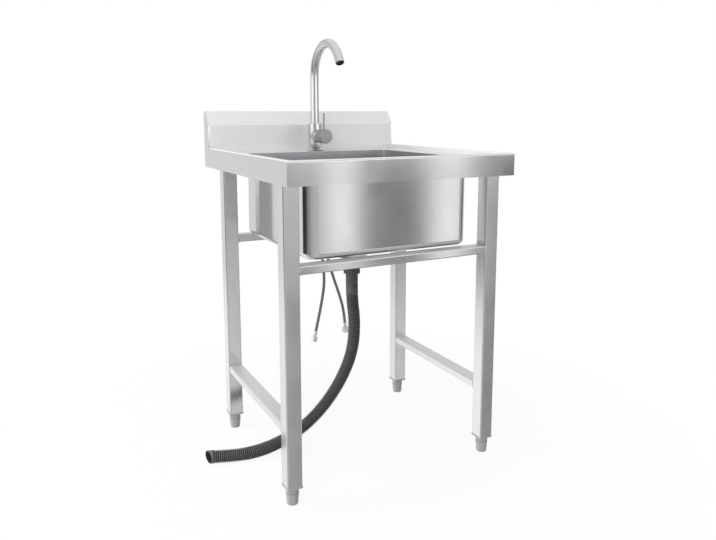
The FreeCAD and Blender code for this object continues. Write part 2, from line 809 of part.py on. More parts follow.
seal_top = body_top - size.seal_drop
seal_low = seal_top - size.seal_height
seal_radius = size.spigot_radius - size.seal_depth
spigot = turned("tap_spigot", [
    (size.spigot_bore, spigot_low), (size.spigot_radius, spigot_low), (size.spigot_radius, seal_low),
    (seal_radius, seal_low), (seal_radius, seal_top), (size.spigot_radius, seal_top),
    (size.spigot_radius, spout_low), (size.spout_radius, spout_low),
    (size.spout_radius, spout_low + size.seal_height), (size.spigot_bore, spout_low + size.seal_height),
], 0, tap_y, 0)
keep("tap_spout", fuse("tap_spout", bend_spout(), spigot))
spout_seal = ring_outline(seal_radius, size.spigot_radius, seal_low, seal_top)
keep("tap_spout_seal", turned("tap_spout_seal", spout_seal, 0, tap_y, 0))
aerator_radius = size.spout_radius - size.spout_wall - size.aerator_clearance
aerator_bore = aerator_radius - size.aerator_wall
aerator = turned("tap_aerator", [
    (0, size.aerator_screen), (aerator_bore, size.aerator_screen), (aerator_bore, -size.aerator_lip),
    (aerator_radius, -size.aerator_lip), (aerator_radius, size.aerator_length), (0, size.aerator_length),
], 0, outlet_y, outlet_z)
aerator.Placement = FreeCAD.Placement(Vector(), FreeCAD.Rotation(Vector(1, 0, 0), droop.number - HALF_TURN))
bind(aerator, "Placement.Rotation.Angle", droop - HALF_TURN)
keep("tap_aerator", place(aerator, 0, outlet_y, outlet_z))

# Mixing cartridge, turntable, stem and lever handle
pivot_y = tap_y - size.handle_pivot_reach
keep("tap_cartridge", rod("tap_cartridge", size.barrel_bore - size.cartridge_clearance, size.cartridge_length,
                          (0, cartridge_y, barrel_z), "-y"))
globe = ball("turntable_globe", size.turntable_radius, (0, pivot_y, barrel_z))
globe_width = size.turntable_radius * 2
globe_back = centred_box("turntable_back", globe_width, size.turntable_radius, globe_width, as_term(0),
                         pivot_y + size.turntable_back + size.turntable_radius / 2,
                         barrel_z - size.turntable_radius)
spindle = rod("turntable_spigot", size.barrel_bore - size.turntable_clearance, size.turntable_spigot,
              (0, pivot_y + size.turntable_back + size.turntable_spigot, barrel_z), "-y")
slot_half = size.stem_side / 2 + size.stem_clearance
slot = box("turntable_slot", (-slot_half, pivot_y - size.turntable_radius, barrel_z - size.stem_slot_down),
           (slot_half * 2, size.turntable_radius + size.stem_slot_back,
            size.stem_slot_down + size.stem_slot_up))
pin_hole = rod("turntable_pin_hole", size.stem_pin_radius + size.pin_clearance, globe_width,
               (-size.turntable_radius, pivot_y, barrel_z), "+x")
turntable = fuse("tap_turntable", cut("globe", globe, globe_back), spindle)
keep("tap_turntable", cut("tap_turntable", turntable, slot, pin_hole))
keep("tap_stem_pin", rod("tap_stem_pin", size.stem_pin_radius, size.stem_pin_half * 2,
                         (-size.stem_pin_half, pivot_y, barrel_z), "+x"))
stem_half = size.stem_side / 2
stem = box("tap_stem_bar", (-stem_half, pivot_y - size.stem_front, barrel_z - stem_half),
           (size.stem_side, size.stem_front + size.stem_back, size.stem_side))
keep("tap_stem", cut("tap_stem", stem, pin_hole))
cap_face = size.cap_length
cap_core = turned("tap_cap_core", [
    (0, 0), (size.cap_radius, 0), (size.cap_radius, cap_face - size.cap_edge),
    (size.cap_radius - size.cap_edge, cap_face), (0, cap_face),
], 0, pivot_y, barrel_z, "-y")
cap_cavity = ball("tap_cap_cavity", size.cap_cavity, (0, pivot_y, barrel_z))
socket_half = stem_half + size.socket_fit
cap_socket = box("tap_cap_socket",
                 (-socket_half, pivot_y - size.stem_front - size.socket_fit, barrel_z - socket_half),
                 (socket_half * 2, size.stem_front, socket_half * 2))
lever_y = pivot_y - size.lever_reach
lever_hole = rod("tap_lever_hole", size.lever_radius + size.pin_clearance, size.cap_radius,
                 (0, lever_y, barrel_z + size.lever_seat))
grub_y = pivot_y - size.grub_reach
grub_hole = rod("tap_grub_hole", size.grub_radius + size.pin_clearance, size.cap_radius,
                (0, grub_y, barrel_z), "-z")
keep("tap_handle_cap", cut("tap_handle_cap", cap_core, cap_cavity, cap_socket, lever_hole, grub_hole))
keep("tap_lever", turned("tap_lever", [
    (0, size.lever_seat), (size.lever_radius, size.lever_seat),
    (size.lever_radius, size.lever_height - size.lever_tip),
    (size.lever_radius - size.lever_tip, size.lever_height), (0, size.lever_height),
], 0, lever_y, barrel_z))
keep("tap_grub_screw", rod("tap_grub_screw", size.grub_radius, size.grub_length,
                           (0, grub_y, barrel_z - stem_half), "-z"))

# Drain: cup through the bowl's floor, seals, nuts, strainer basket and hose cuff
cup_bore = size.drain_cup_radius - size.drain_wall
cup_floor = size.drain_wall - size.drain_cup_depth
keep("drain_body", turned("drain_body", [
    (size.drain_outlet_bore, -size.drain_outlet_end), (size.drain_outlet_radius, -size.drain_outlet_end),
    (size.drain_outlet_radius, -size.drain_cup_depth), (size.drain_cup_radius, -size.drain_cup_depth),
    (size.drain_cup_radius, 0), (size.drain_flange_radius, 0),
    (size.drain_flange_radius, size.drain_flange - size.drain_flange_edge),
    (size.drain_flange_radius - size.drain_flange_edge, size.drain_flange), (cup_bore, size.drain_flange),
    (cup_bore, cup_floor), (size.drain_outlet_bore, cup_floor),
], 0, bowl_y, bowl_floor))
nut_bore = size.drain_cup_radius + size.drain_thread_clearance
gasket_low = -size.bowl_wall - size.drain_gasket
keep("drain_gasket", turned("drain_gasket", ring_outline(nut_bore, size.drain_flange_radius, gasket_low,
                                                         -size.bowl_wall), 0, bowl_y, bowl_floor))
keep("drain_lock_nut", turned("drain_lock_nut", ring_outline(nut_bore, size.lock_nut_radius,
                                                             gasket_low - size.lock_nut_height, gasket_low),
                              0, bowl_y, bowl_floor))
slip_bore = size.drain_outlet_radius + size.drain_thread_clearance
cuff_top = -size.drain_outlet_end
cuff_step = cuff_top - size.cuff_flange
lip_top = cuff_step - size.cuff_clearance
lip_bore = size.cuff_top_radius + size.cuff_clearance
keep("drain_slip_nut", turned("drain_slip_nut", [
    (slip_bore, -size.slip_nut_top), (size.slip_nut_radius, -size.slip_nut_top),
    (size.slip_nut_radius, -size.slip_nut_foot), (lip_bore, -size.slip_nut_foot), (lip_bore, lip_top),
    (slip_bore, lip_top),
], 0, bowl_y, bowl_floor))
hose_top = -size.hose_drop
keep("drain_hose_cuff", turned("drain_hose_cuff", [
    (size.hose_bore, cuff_top), (size.cuff_flange_radius, cuff_top), (size.cuff_flange_radius, cuff_step),
    (size.cuff_top_radius, cuff_step), (size.hose_crest_radius, hose_top), (size.hose_bore, hose_top),
], 0, bowl_y, bowl_floor))


def press_basket():
    low = cup_floor + size.basket_gap
    rim = low + size.basket_height
    bore = size.basket_radius - size.basket_wall
    knob_low = size.drain_flange + size.basket_knob_rise
    knob_top = knob_low + size.basket_knob_height
    body = turned("strainer_basket", [
        (0, low), (size.basket_radius, low), (size.basket_radius, rim), (bore, rim),
        (bore, low + size.basket_floor),
        (size.basket_post_radius, low + size.basket_floor), (size.basket_post_radius, knob_low),
        (size.basket_knob_radius, knob_low), (size.basket_knob_radius, knob_top), (0, knob_top),
    ], 0, bowl_y, bowl_floor)
    doc.recompute()
    whole = body.Shape.Volume
    plan = sketch_in(body, "XY_Plane", "basket_hole_plan", low + size.basket_floor)
    circle(plan, size.basket_hole_radius, size.basket_hole_circle, 0)
    hole = add_feature(body, "Pocket", "basket_hole", plan, size.basket_floor * 2)
    axis = [feature for feature in body.Origin.OriginFeatures if feature.Role == "Z_Axis"][0]
    holes = body.newObject("PartDesign::PolarPattern", "basket_holes")
    holes.Originals = [hole]
    holes.Axis = (axis, [""])
    holes.Angle = 360
    bind(holes, "Occurrences", size.basket_hole_count)
    body.Tip = holes
    doc.recompute()
    assert body.Shape.Volume < whole - 1
    return body


keep("strainer_basket", press_basket())


# Hoses: straight runs joined by tangent arcs as large as the runs allow
class Route:
    """The centre line through a list of points, with its runs, arcs and length."""

    def __init__(self, points):
        self.points = points
        self.parts = []
        self.radii = []
        start = self.points[0]
        for before, corner, after in zip(self.points, self.points[1:], self.points[2:]):
            arriving = (corner - before).normalize()
            leaving = (after - corner).normalize()
            turn = arriving.getAngle(leaving)
            trim = ARC_SHARE * min((corner - before).Length, (after - corner).Length)
            radius = trim / math.tan(turn / 2)
            centre = corner + (leaving - arriving).normalize() * (radius / math.cos(turn / 2))
            arc_start = corner - arriving * trim
            self.parts.append(("run", start, arriving, (arc_start - start).Length))
            self.parts.append(("arc", arc_start, arriving, radius * turn, centre, radius))
            self.radii.append(radius)
            start = corner + leaving * trim
        last = self.points[-1] - start
        self.parts.append(("run", start, Vector(last).normalize(), last.Length))
        self.length = sum(part[3] for part in self.parts)

    def at(self, distance):
        """Point and direction at a distance along the centre line."""
        for part in self.parts:
            if distance <= part[3] or part is self.parts[-1]:
                break
            distance -= part[3]
        if part[0] == "run":
            return part[1] + part[2] * distance, part[2]
        centre, radius = part[4], part[5]
        spoke = part[1] - centre
        angle = distance / radius
        point = centre + spoke * math.cos(angle) + part[2] * (radius * math.sin(angle))
        return point, part[2] * math.cos(angle) - spoke * (math.sin(angle) / radius)

    def wire(self):
        edges = []
        travelled = 0
        for part in self.parts:
            start, middle, end = (self.at(travelled + share * part[3])[0] for share in (0, 0.5, 1))
            travelled += part[3]
            if part[0] == "run":
                edges.append(Part.LineSegment(start, end).toShape())
            else:
                edges.append(Part.Arc(start, middle, end).toShape())
        return Part.Wire(edges)


def hose_circle(route, distance, radius):
    """A section of the hose, turned so that its seam stays on the same side."""
    point, direction = route.at(distance)
    seam = Vector(0, 1, 0)
    ring = Part.Circle(point, direction, radius)
    ring.XAxis = (seam - direction * seam.dot(direction)).normalize()
    return Part.Wire([ring.toShape()])


def ribbed_hose(route):
    crest = size.hose_crest_radius.number
    root = size.hose_root_radius.number
    bore = size.hose_bore.number
    straight = crest * 2
    ribbed = route.length - straight * 2
    ribs = int(ribbed / size.hose_rib_pitch.number)
    pitch = ribbed / ribs
    stations = [(0, crest), (straight - pitch, crest)]
    for rib in range(ribs):
        for share, on_crest in RIB_STATIONS:
            stations.append((straight + (rib + share) * pitch, crest if on_crest else root))
    stations += [(route.length - straight, crest), (route.length, crest)]
    outside = Part.makeLoft([hose_circle(route, *station) for station in stations], False, True)
    inside = Part.makeLoft([hose_circle(route, distance, bore) for distance, radius in stations], False, True)
    ends = []
    for distance in (0, route.length):
        rings = [hose_circle(route, distance, radius) for radius in (crest, bore)]
        ends.append(Part.Face(rings, "Part::FaceMakerBullseye"))
    shell = Part.makeShell(outside.Faces + inside.Faces + ends)
    shell.sewShape()
    solid = Part.Solid(shell)
    if solid.Volume < 0:
        solid.reverse()
    print("drain hose ribs", ribs, "length", round(route.length, 1))
    return solid


def plain_hose(route, radius):
    wire = route.wire()
    ring = Part.Wire([Part.Circle(route.points[0], route.parts[0][2], radius).toShape()])
    solid = wire.makePipeShell([ring], True, False)
    expected = math.pi * radius ** 2 * route.length
    assert abs(solid.Volume / expected - 1) < 0.01
    return solid


def set_shape(label, shape):
    item = doc.addObject("Part::Feature", label)
    item.Shape = shape
    return keep(label, item)


drain_rest = size.hose_crest_radius.number + size.hose_floor_gap.number
drain_start = (bowl_floor - size.hose_drop).number
stretch = (drain_start - drain_rest) / DRAIN_ROUTE[0][2]
drain_route = Route([Vector(x, y + bowl_y.number, drain_rest + rise * stretch) for x, y, rise in DRAIN_ROUTE])
print("drain hose radii", [round(radius) for radius in drain_route.radii])
set_shape("drain_hose", ribbed_hose(drain_route))

for supply, points in SUPPLY_ROUTES.items():
    route = Route([Vector(x, y + tap_y.number, top.number - drop) for x, y, drop in points])
    print(f"{supply} supply hose radii", [round(radius) for radius in route.radii])
    print(f"{supply} supply hose length", round(route.length, 1))
    set_shape(f"supply_hose_{supply}", plain_hose(route, size.supply_radius.number))
    end, direction = route.at(route.length)
    aim = FreeCAD.Placement(end, FreeCAD.Rotation(Vector(0, 0, 1), direction))
    neck_end = size.ferrule_length + size.ferrule_neck
    ferrule = lathe(f"supply_ferrule_{supply}", [
        (0, 0), (size.ferrule_radius, 0), (size.ferrule_radius, size.ferrule_length),
        (size.ferrule_neck_radius, size.ferrule_length), (size.ferrule_neck_radius, neck_end),
        (size.ferrule_head_radius, neck_end), (size.ferrule_head_radius, neck_end + size.ferrule_head),
        (0, neck_end + size.ferrule_head),
    ])
    nut_low = size.ferrule_length + size.supply_nut_clearance
    nut = hex_nut(f"supply_nut_{supply}", size.supply_nut_flats, size.supply_nut_height,
                  size.ferrule_neck_radius + size.supply_nut_clearance)
    for part, radius, depth in (("seat", size.supply_nut_seat, size.supply_nut_seat_depth),
                                ("thread", size.supply_nut_thread, size.supply_nut_thread_depth)):
        mouth = sketch_in(nut, "XY_Plane", f"{supply}_nut_{part}_mouth", size.supply_nut_height)
        circle(mouth, radius)
        add_feature(nut, "Pocket", f"{supply}_nut_{part}", mouth, depth)
    ferrule.Placement = aim
    nut.Placement = FreeCAD.Placement(end + direction * nut_low.number, aim.Rotation)
    keep(f"supply_ferrule_{supply}", ferrule)
    keep(f"supply_nut_{supply}", nut)

doc.recompute()
faults = [item.Label for item in doc.Objects if "Invalid" in item.State or "Error" in item.State]
faults += [label for label, item in pieces.items() if item.Shape.isNull() or not item.Shape.isValid()]
if faults:
    raise RuntimeError(f"pieces that failed: {faults}")
os.makedirs("parts", exist_ok=True)
for label, item in pieces.items():
    item.Shape.exportStep(f"parts/{label}.step")
print(len(pieces), "pieces")
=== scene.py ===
"""Freestanding stainless steel sink: finishes, hoses, welds, fittings and stage around its solids."""

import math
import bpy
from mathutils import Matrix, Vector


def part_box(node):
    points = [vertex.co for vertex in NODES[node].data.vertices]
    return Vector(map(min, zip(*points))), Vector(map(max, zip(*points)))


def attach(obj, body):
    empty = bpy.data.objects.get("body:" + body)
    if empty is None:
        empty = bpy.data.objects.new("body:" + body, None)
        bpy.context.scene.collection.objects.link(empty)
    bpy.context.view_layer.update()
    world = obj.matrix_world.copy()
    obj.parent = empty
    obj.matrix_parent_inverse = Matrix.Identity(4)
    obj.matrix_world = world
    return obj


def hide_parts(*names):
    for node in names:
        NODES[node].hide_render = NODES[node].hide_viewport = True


bl_info = {
    "name": "Freestanding Steel Sink",
    "version": (1, 0, 0),
    "blender": (4, 5, 0),
    "location": "3D View > Sidebar > Sink",
    "description": "Finishes, hoses, welds and small fittings of a freestanding stainless steel sink",
    "category": "Object",
}

from bisect import bisect_left

import bmesh
import bpy
from bpy.props import FloatProperty, FloatVectorProperty, IntProperty, PointerProperty
from bpy.types import Operator, Panel, PropertyGroup
from mathutils import Matrix, Vector

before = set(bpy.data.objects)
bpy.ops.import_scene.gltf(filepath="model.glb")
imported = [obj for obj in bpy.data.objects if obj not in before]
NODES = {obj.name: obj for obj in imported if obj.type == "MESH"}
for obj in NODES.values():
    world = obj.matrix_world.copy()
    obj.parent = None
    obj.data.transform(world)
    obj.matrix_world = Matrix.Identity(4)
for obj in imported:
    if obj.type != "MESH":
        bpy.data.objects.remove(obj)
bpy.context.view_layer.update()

# Endings of the node names that repeat
CORNERS = ("front_left", "front_right", "rear_left", "rear_right")
SIDES = ("left", "right")
SUPPLIES = ("hot", "cold")

# Centre lines of the hoses, in metres, from where each one leaves the sink
DRAIN_ROUTE = (
    (0, -0.027, 0.442), (0, -0.027, 0.4008), (0.009, -0.027, 0.330), (0.003, -0.027, 0.255),
    (-0.022, -0.025, 0.190), (-0.062, -0.022, 0.128), (-0.112, -0.018, 0.076), (-0.168, -0.014, 0.040),
    (-0.226, -0.013, 0.020), (-0.285, -0.020, 0.0168), (-0.340, -0.012, 0.0168), (-0.398, 0.010, 0.0168),
)
SUPPLY_ROUTES = {
    "hot": (
        (-0.0056, 0.210, 0.805), (-0.0056, 0.210, 0.715), (-0.001, 0.2135, 0.610), (0.016, 0.215, 0.505),
        (0.031, 0.214, 0.402), (0.020, 0.214, 0.322), (-0.001, 0.214, 0.236),
    ),
    "cold": (
        (0.0056, 0.210, 0.805), (0.0056, 0.210, 0.715), (0.012, 0.2135, 0.612), (0.028, 0.215, 0.512),
        (0.053, 0.214, 0.415), (0.078, 0.214, 0.345), (0.0945, 0.214, 0.290), (0.098, 0.214, 0.250),
    ),
}

# What the metal mirrors below eye level in front of the sink: bearing to the right of ahead, and level
MIRROR_STRIPS = (
    (12.0, 0.60), (18.0, 0.50), (20.5, 0.42), (23.8, 0.40), (25.6, 1.25), (27.0, 1.22), (28.4, 0.22),
    (30.5, 0.25), (33.0, 0.22), (34.8, 1.35), (36.2, 1.20), (38.2, 0.20), (41.0, 0.18), (48.0, 0.50),
)
# The same all the way round: a little below eye level, well below it, and at it
MIRROR_LOW = (
    (-180.0, 0.50), (-172.0, 0.55), (-167.0, 0.82), (-158.0, 0.86), (-148.0, 0.84), (-139.0, 0.05),
    (-112.0, 0.02), (-96.0, 0.08), (-64.0, 0.14), (-52.0, 0.46), (-30.0, 0.52), (0.0, 0.58), (12.0, 0.60),
    (48.0, 0.50), (75.0, 0.45), (95.0, 0.70), (120.0, 0.90), (150.0, 0.80), (166.0, 0.60), (180.0, 0.50),
)
MIRROR_FOOT = (
    (-180.0, 0.80), (-167.0, 1.20), (-161.0, 1.00), (-150.0, 1.00), (-141.0, 1.25), (-120.0, 1.00),
    (-100.0, 0.70), (-60.0, 0.50), (0.0, 0.60), (12.0, 0.90), (18.6, 0.88), (20.4, 0.16), (26.0, 0.16),
    (28.2, 0.95), (33.0, 0.95), (36.0, 0.25), (43.0, 0.22), (60.0, 0.50), (90.0, 0.70), (130.0, 0.90),
    (180.0, 0.80),
)
MIRROR_LEVEL = (
    (-180.0, 0.90), (-165.0, 0.84), (-150.0, 0.84), (-115.0, 1.05), (-85.0, 1.50), (-60.0, 1.50),
    (-44.0, 0.70), (-34.0, 0.42), (-18.0, 0.42), (-6.0, 0.75), (8.0, 1.65), (34.0, 1.65), (50.0, 0.70),
    (75.0, 0.45), (100.0, 0.42), (125.0, 0.90), (140.0, 1.25), (165.0, 1.20), (180.0, 0.90),
)
# Levels higher up, overhead, and on the floor beside the sink
MIRROR_ABOVE = 0.66
MIRROR_TOP = 1.00
MIRROR_FLOOR = 0.03
# Where one level goes over into the next: rise of the line of sight, from and to
FLOOR_BAND = (-0.74, -0.64)
FOOT_BAND = (-0.28, -0.22)
EYE_BAND_ROUND = (-0.135, -0.095)
EYE_BAND_AHEAD = (-0.048, -0.036)
ABOVE_BAND = (0.20, 0.30)
TOP_BAND = (0.52, 0.64)
# Bearings between which the strips stand, the eye line is higher, and the floor shows
STRIP_SPAN = (12.0, 48.0)
AHEAD_SPAN = (-150.0, 48.0)
FLOOR_SPAN = (36.0, 140.0)
FULL_TURN = (-180.0, 180.0)
# Soft light on matt surfaces, by bearing
FILL_LEVEL = (
    (-180.0, 0.60), (-150.0, 1.50), (-85.0, 1.60), (-45.0, 1.10), (0.0, 0.85), (50.0, 0.25), (120.0, 0.12),
    (160.0, 0.30), (180.0, 0.60),
)


# Settings
class SinkFinishes(PropertyGroup):
    """Colours and roughness of the sink's materials."""

    sheet: FloatVectorProperty(
        name="Sheet steel", description="Brushed sheet of the worktop and splashback", subtype="COLOR",
        default=(0.70, 0.70, 0.705), min=0, max=1)
    bowl: FloatVectorProperty(
        name="Bowl steel", description="Drawn and brushed sheet of the bowl", subtype="COLOR",
        default=(0.71, 0.715, 0.73), min=0, max=1)
    tube: FloatVectorProperty(
        name="Tube steel", description="Brushed square tube of legs and rails", subtype="COLOR",
        default=(0.70, 0.70, 0.705), min=0, max=1)
    tap: FloatVectorProperty(
        name="Tap metal", description="Satin nickel of the tap", subtype="COLOR",
        default=(0.66, 0.655, 0.65), min=0, max=1)
    handle: FloatVectorProperty(
        name="Handle disc", description="Turned face of the tap's handle", subtype="COLOR",
        default=(0.33, 0.325, 0.32), min=0, max=1)
    plated: FloatVectorProperty(
        name="Plated steel", description="Plated nuts, washers and screws", subtype="COLOR",
        default=(0.66, 0.66, 0.65), min=0, max=1)
    drain: FloatVectorProperty(
        name="Drain steel", description="Polished drain cup and strainer", subtype="COLOR",
        default=(0.72, 0.72, 0.73), min=0, max=1)
    foot: FloatVectorProperty(
        name="Foot metal", description="Cast levelling feet", subtype="COLOR",
        default=(0.40, 0.40, 0.395), min=0, max=1)
    grey_plastic: FloatVectorProperty(
        name="Grey plastic", description="Plugs in the ends of the legs", subtype="COLOR",
        default=(0.30, 0.30, 0.30), min=0, max=1)
    black_plastic: FloatVectorProperty(
        name="Black plastic", description="Aerator and cartridge", subtype="COLOR",
        default=(0.018, 0.018, 0.019), min=0, max=1)
    drain_plastic: FloatVectorProperty(
        name="Drain plastic", description="Nuts and cuff under the bowl", subtype="COLOR",
        default=(0.055, 0.055, 0.056), min=0, max=1)
    rubber: FloatVectorProperty(
        name="Rubber", description="Gaskets and seals", subtype="COLOR",
        default=(0.022, 0.022, 0.022), min=0, max=1)
    hose: FloatVectorProperty(
        name="Hose plastic", description="Ribs of the corrugated drain hose", subtype="COLOR",
        default=(0.100, 0.100, 0.101), min=0, max=1)
    # Painted shade: the grooves between the drain hose's ribs are coloured far darker than its ribs
    hose_groove_shade: FloatVectorProperty(
        name="Hose grooves", description="Dirt and shade between the drain hose's ribs", subtype="COLOR",
        default=(0.010, 0.010, 0.010), min=0, max=1)
    braid: FloatVectorProperty(
        name="Braid", description="Woven wire round the supply hoses", subtype="COLOR",
        default=(0.24, 0.24, 0.24), min=0, max=1)
    steel_roughness: FloatProperty(
        name="Steel roughness", description="How far the brushed steel blurs what it mirrors",
        subtype="FACTOR", default=0.12, min=0, max=1)
    satin_roughness: FloatProperty(
        name="Satin roughness", description="The same on the deck and the splashback",
        subtype="FACTOR", default=0.42, min=0, max=1)
    satin_mirror: FloatProperty(
        name="Satin mirror", description="Share of light that the deck and the splashback mirror",
        subtype="FACTOR", default=0.45, min=0, max=1)
    bowl_roughness: FloatProperty(
        name="Bowl roughness", description="The same inside the bowl",
        subtype="FACTOR", default=0.22, min=0, max=1)
    tube_roughness: FloatProperty(
        name="Tube roughness", description="The same on the legs and rails",
        subtype="FACTOR", default=0.19, min=0, max=1)
    tube_mirror: FloatProperty(
        name="Tube mirror", description="Share of light that the legs and rails mirror",
        subtype="FACTOR", default=0.96, min=0, max=1)


class SinkHoses(PropertyGroup):
    """Sizes of the hoses."""

    crest_radius: FloatProperty(
        name="Crest radius", description="Drain hose over its ribs", unit="LENGTH",
        default=0.0165, precision=5)
    root_radius: FloatProperty(
        name="Root radius", description="Drain hose between its ribs", unit="LENGTH",
        default=0.0136, precision=5)
    bore_radius: FloatProperty(
        name="Bore radius", description="Inside of the drain hose", unit="LENGTH",
        default=0.0125, precision=5)
    rib_pitch: FloatProperty(
        name="Rib pitch", description="From one rib of the drain hose to the next", unit="LENGTH",
        default=0.0048, precision=5)
    rib_sides: IntProperty(name="Rib sides", description="Faces round the drain hose", default=32, min=8)
    end_cuff: FloatProperty(
        name="End cuff", description="Plain length at the drain hose's open end", unit="LENGTH",
        default=0.016, precision=5)
    end_cut: FloatProperty(
        name="End cut", description="Slant of the cut across the drain hose's open end", subtype="ANGLE",
        default=math.radians(32))
    supply_radius: FloatProperty(
        name="Supply radius", description="Supply hose over its braid", unit="LENGTH",
        default=0.0045, precision=5)
    braid_relief: FloatProperty(
        name="Braid relief", description="Depth of the weave on the supply hoses", unit="LENGTH",
        default=0.0003, precision=5)
    braid_waves: IntProperty(
        name="Braid waves", description="Wire bundles round a supply hose", default=8, min=4)
    braid_pitch: FloatProperty(
        name="Braid pitch", description="From one crossing of the weave to the next", unit="LENGTH",
        default=0.0046, precision=5)


class SinkStage(PropertyGroup):
    """Camera, floor and light."""

    camera_place: FloatVectorProperty(
        name="Camera place", description="Where the camera stands", subtype="TRANSLATION", unit="LENGTH",
        default=(-0.81023, -1.61170, 0.89493), precision=5)
    camera_turn: FloatProperty(
        name="Camera turn", description="Turn to the right of looking straight at the front", subtype="ANGLE",
        default=0.47146)
    camera_dip: FloatProperty(
        name="Camera dip", description="Tilt below the level", subtype="ANGLE", default=0.14535)
    camera_roll: FloatProperty(
        name="Camera roll", description="Tilt round the line of sight", subtype="ANGLE", default=-0.00176)
    lens: FloatProperty(name="Lens", description="Focal length", unit="CAMERA", default=33.82)
    shift: FloatVectorProperty(
        name="Shift", description="Offset of the picture from the line of sight", size=2,
        default=(0.00988, -0.0802))
    floor: FloatVectorProperty(
        name="Floor", description="Pale floor", subtype="COLOR", default=(0.60, 0.60, 0.60), min=0, max=1)
    floor_reach: FloatProperty(
        name="Floor reach", description="Half the side of the floor", unit="LENGTH", default=9.0)
    lamp_place: FloatVectorProperty(
        name="Lamp place", description="Where the soft lamp hangs", subtype="TRANSLATION", unit="LENGTH",
        default=(-1.6, -2.0, 2.2))
    lamp_power: FloatProperty(
        name="Lamp power", description="Power of the soft lamp", unit="POWER", default=60.0)
    lamp_size: FloatProperty(
        name="Lamp size", description="Width of the soft lamp", unit="LENGTH", default=2.4)
    side_place: FloatVectorProperty(
        name="Side lamp place", description="Where the lamp on the left hangs", subtype="TRANSLATION",
        unit="LENGTH", default=(-2.2, 0.8, 1.0))
    side_power: FloatProperty(
        name="Side lamp power", description="Power of the lamp on the left", unit="POWER", default=46.0)
    side_size: FloatProperty(
        name="Side lamp size", description="Width of the lamp on the left", unit="LENGTH", default=1.2)
    lamp_aim: FloatVectorProperty(
        name="Lamp aim", description="What both lamps point at", subtype="TRANSLATION", unit="LENGTH",
        default=(0.0, 0.0, 0.4))


# Shared shader parts
def start_finish(name):
    finish = bpy.data.materials.new(name)
    finish.use_nodes = True
    return finish, finish.node_tree, finish.node_tree.nodes["Principled BSDF"]


def add_node(tree, kind, sockets=None, **settings):
    node = tree.nodes.new(kind)
    for name, value in settings.items():
        setattr(node, name, value)
    for name, value in (sockets or {}).items():
        node.inputs[name].default_value = value
    return node


def grain(tree, scale, detail=3.0):
    """Noise on the piece's own coordinates, drawn out by a scale for each axis."""
    place = add_node(tree, "ShaderNodeTexCoord")
    spread = add_node(tree, "ShaderNodeMapping", {"Scale": scale})
    noise = add_node(tree, "ShaderNodeTexNoise", {"Scale": 1.0, "Detail": detail, "Roughness": 0.55})
    tree.links.new(place.outputs["Object"], spread.inputs["Vector"])
    tree.links.new(spread.outputs["Vector"], noise.inputs["Vector"])
    return noise.outputs["Fac"]


def remap(tree, source, low, high, start=0.32, end=0.68):
    node = add_node(tree, "ShaderNodeMapRange",
                    {"From Min": start, "From Max": end, "To Min": low, "To Max": high})
    tree.links.new(source, node.inputs["Value"])
    return node.outputs["Result"]


def blend_colours(tree, source, first, second):
    """A colour between two, by a value from 0 to 1."""
    node = add_node(tree, "ShaderNodeMix", data_type="RGBA")
    tree.links.new(source, node.inputs["Factor"])
    sockets = [socket for socket in node.inputs if socket.type == "RGBA"]
    for socket, colour in zip(sockets, (first, second)):
        socket.default_value = (*colour, 1)
    return [socket for socket in node.outputs if socket.type == "RGBA"][0]


def join_values(tree, operation, first, second):
    node = add_node(tree, "ShaderNodeMath", operation=operation)
    for socket, value in zip(node.inputs, (first, second)):
        if isinstance(value, float):
            socket.default_value = value
        else:
            tree.links.new(value, socket)
    return node.outputs["Value"]


def mix_values(tree, factor, first, second):
    node = add_node(tree, "ShaderNodeMix", data_type="FLOAT")
    tree.links.new(factor, node.inputs["Factor"])
    for name, value in (("A", first), ("B", second)):
        if isinstance(value, float):
            node.inputs[name].default_value = value
        else:
            tree.links.new(value, node.inputs[name])
    return node.outputs["Result"]


def raise_surface(tree, shader, height, strength, depth):
    bump = add_node(tree, "ShaderNodeBump", {"Strength": strength, "Distance": depth})
    tree.links.new(height, bump.inputs["Height"])
    tree.links.new(bump.outputs["Normal"], shader.inputs["Normal"])


def shades(colour, spread):
    return [tuple(min(1, part * (1 + sign * spread)) for part in colour) for sign in (-1, 1)]


# How far the splashback's face stands in front of its rear panel
SPLASH_REACH = 0.055
SPLASH_EDGE = 0.004
# How deep the aprons' own finish goes in from the worktop's outer faces
SKIN = 0.003
# Brushing: lines that are long along one axis and fine across it
LINE_FINE = 2600.0
LINE_LONG = 22.0


def lines_along(*axes):
    scale = [LINE_LONG if axis in axes else LINE_FINE for axis in "xyz"]
    return lambda tree: grain(tree, scale)


def lines_on_folds(tree):
    """Lines level on every upright face, and along the front on the flat ones."""
    normal = add_node(tree, "ShaderNodeNewGeometry")
    parts = add_node(tree, "ShaderNodeSeparateXYZ")
    steep = add_node(tree, "ShaderNodeMath", operation="ABSOLUTE")
    tree.links.new(normal.outputs["Normal"], parts.inputs["Vector"])
    tree.links.new(parts.outputs["Z"], steep.inputs[0])
    flat = remap(tree, steep.outputs["Value"], 0.0, 1.0, 0.6, 0.8)
    return mix_values(tree, flat, lines_along("x", "y")(tree), lines_along("x", "z")(tree))


def rings_round_handle(tree):
    """Turning marks round the handle's axis."""
    place = add_node(tree, "ShaderNodeTexCoord")
    low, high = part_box("tap_handle_cap")
    middle = (low + high) / 2
    centre = add_node(tree, "ShaderNodeMapping", {"Location": (-middle.x, -middle.y, -middle.z)})
    rings = add_node(tree, "ShaderNodeTexWave",
                     {"Scale": 260.0, "Distortion": 1.5, "Detail": 3.0, "Detail Scale": 2.0},
                     wave_type="RINGS", rings_direction="Y")
    tree.links.new(place.outputs["Object"], centre.inputs["Vector"])
    tree.links.new(centre.outputs["Vector"], rings.inputs["Vector"])
    return rings.outputs["Fac"]


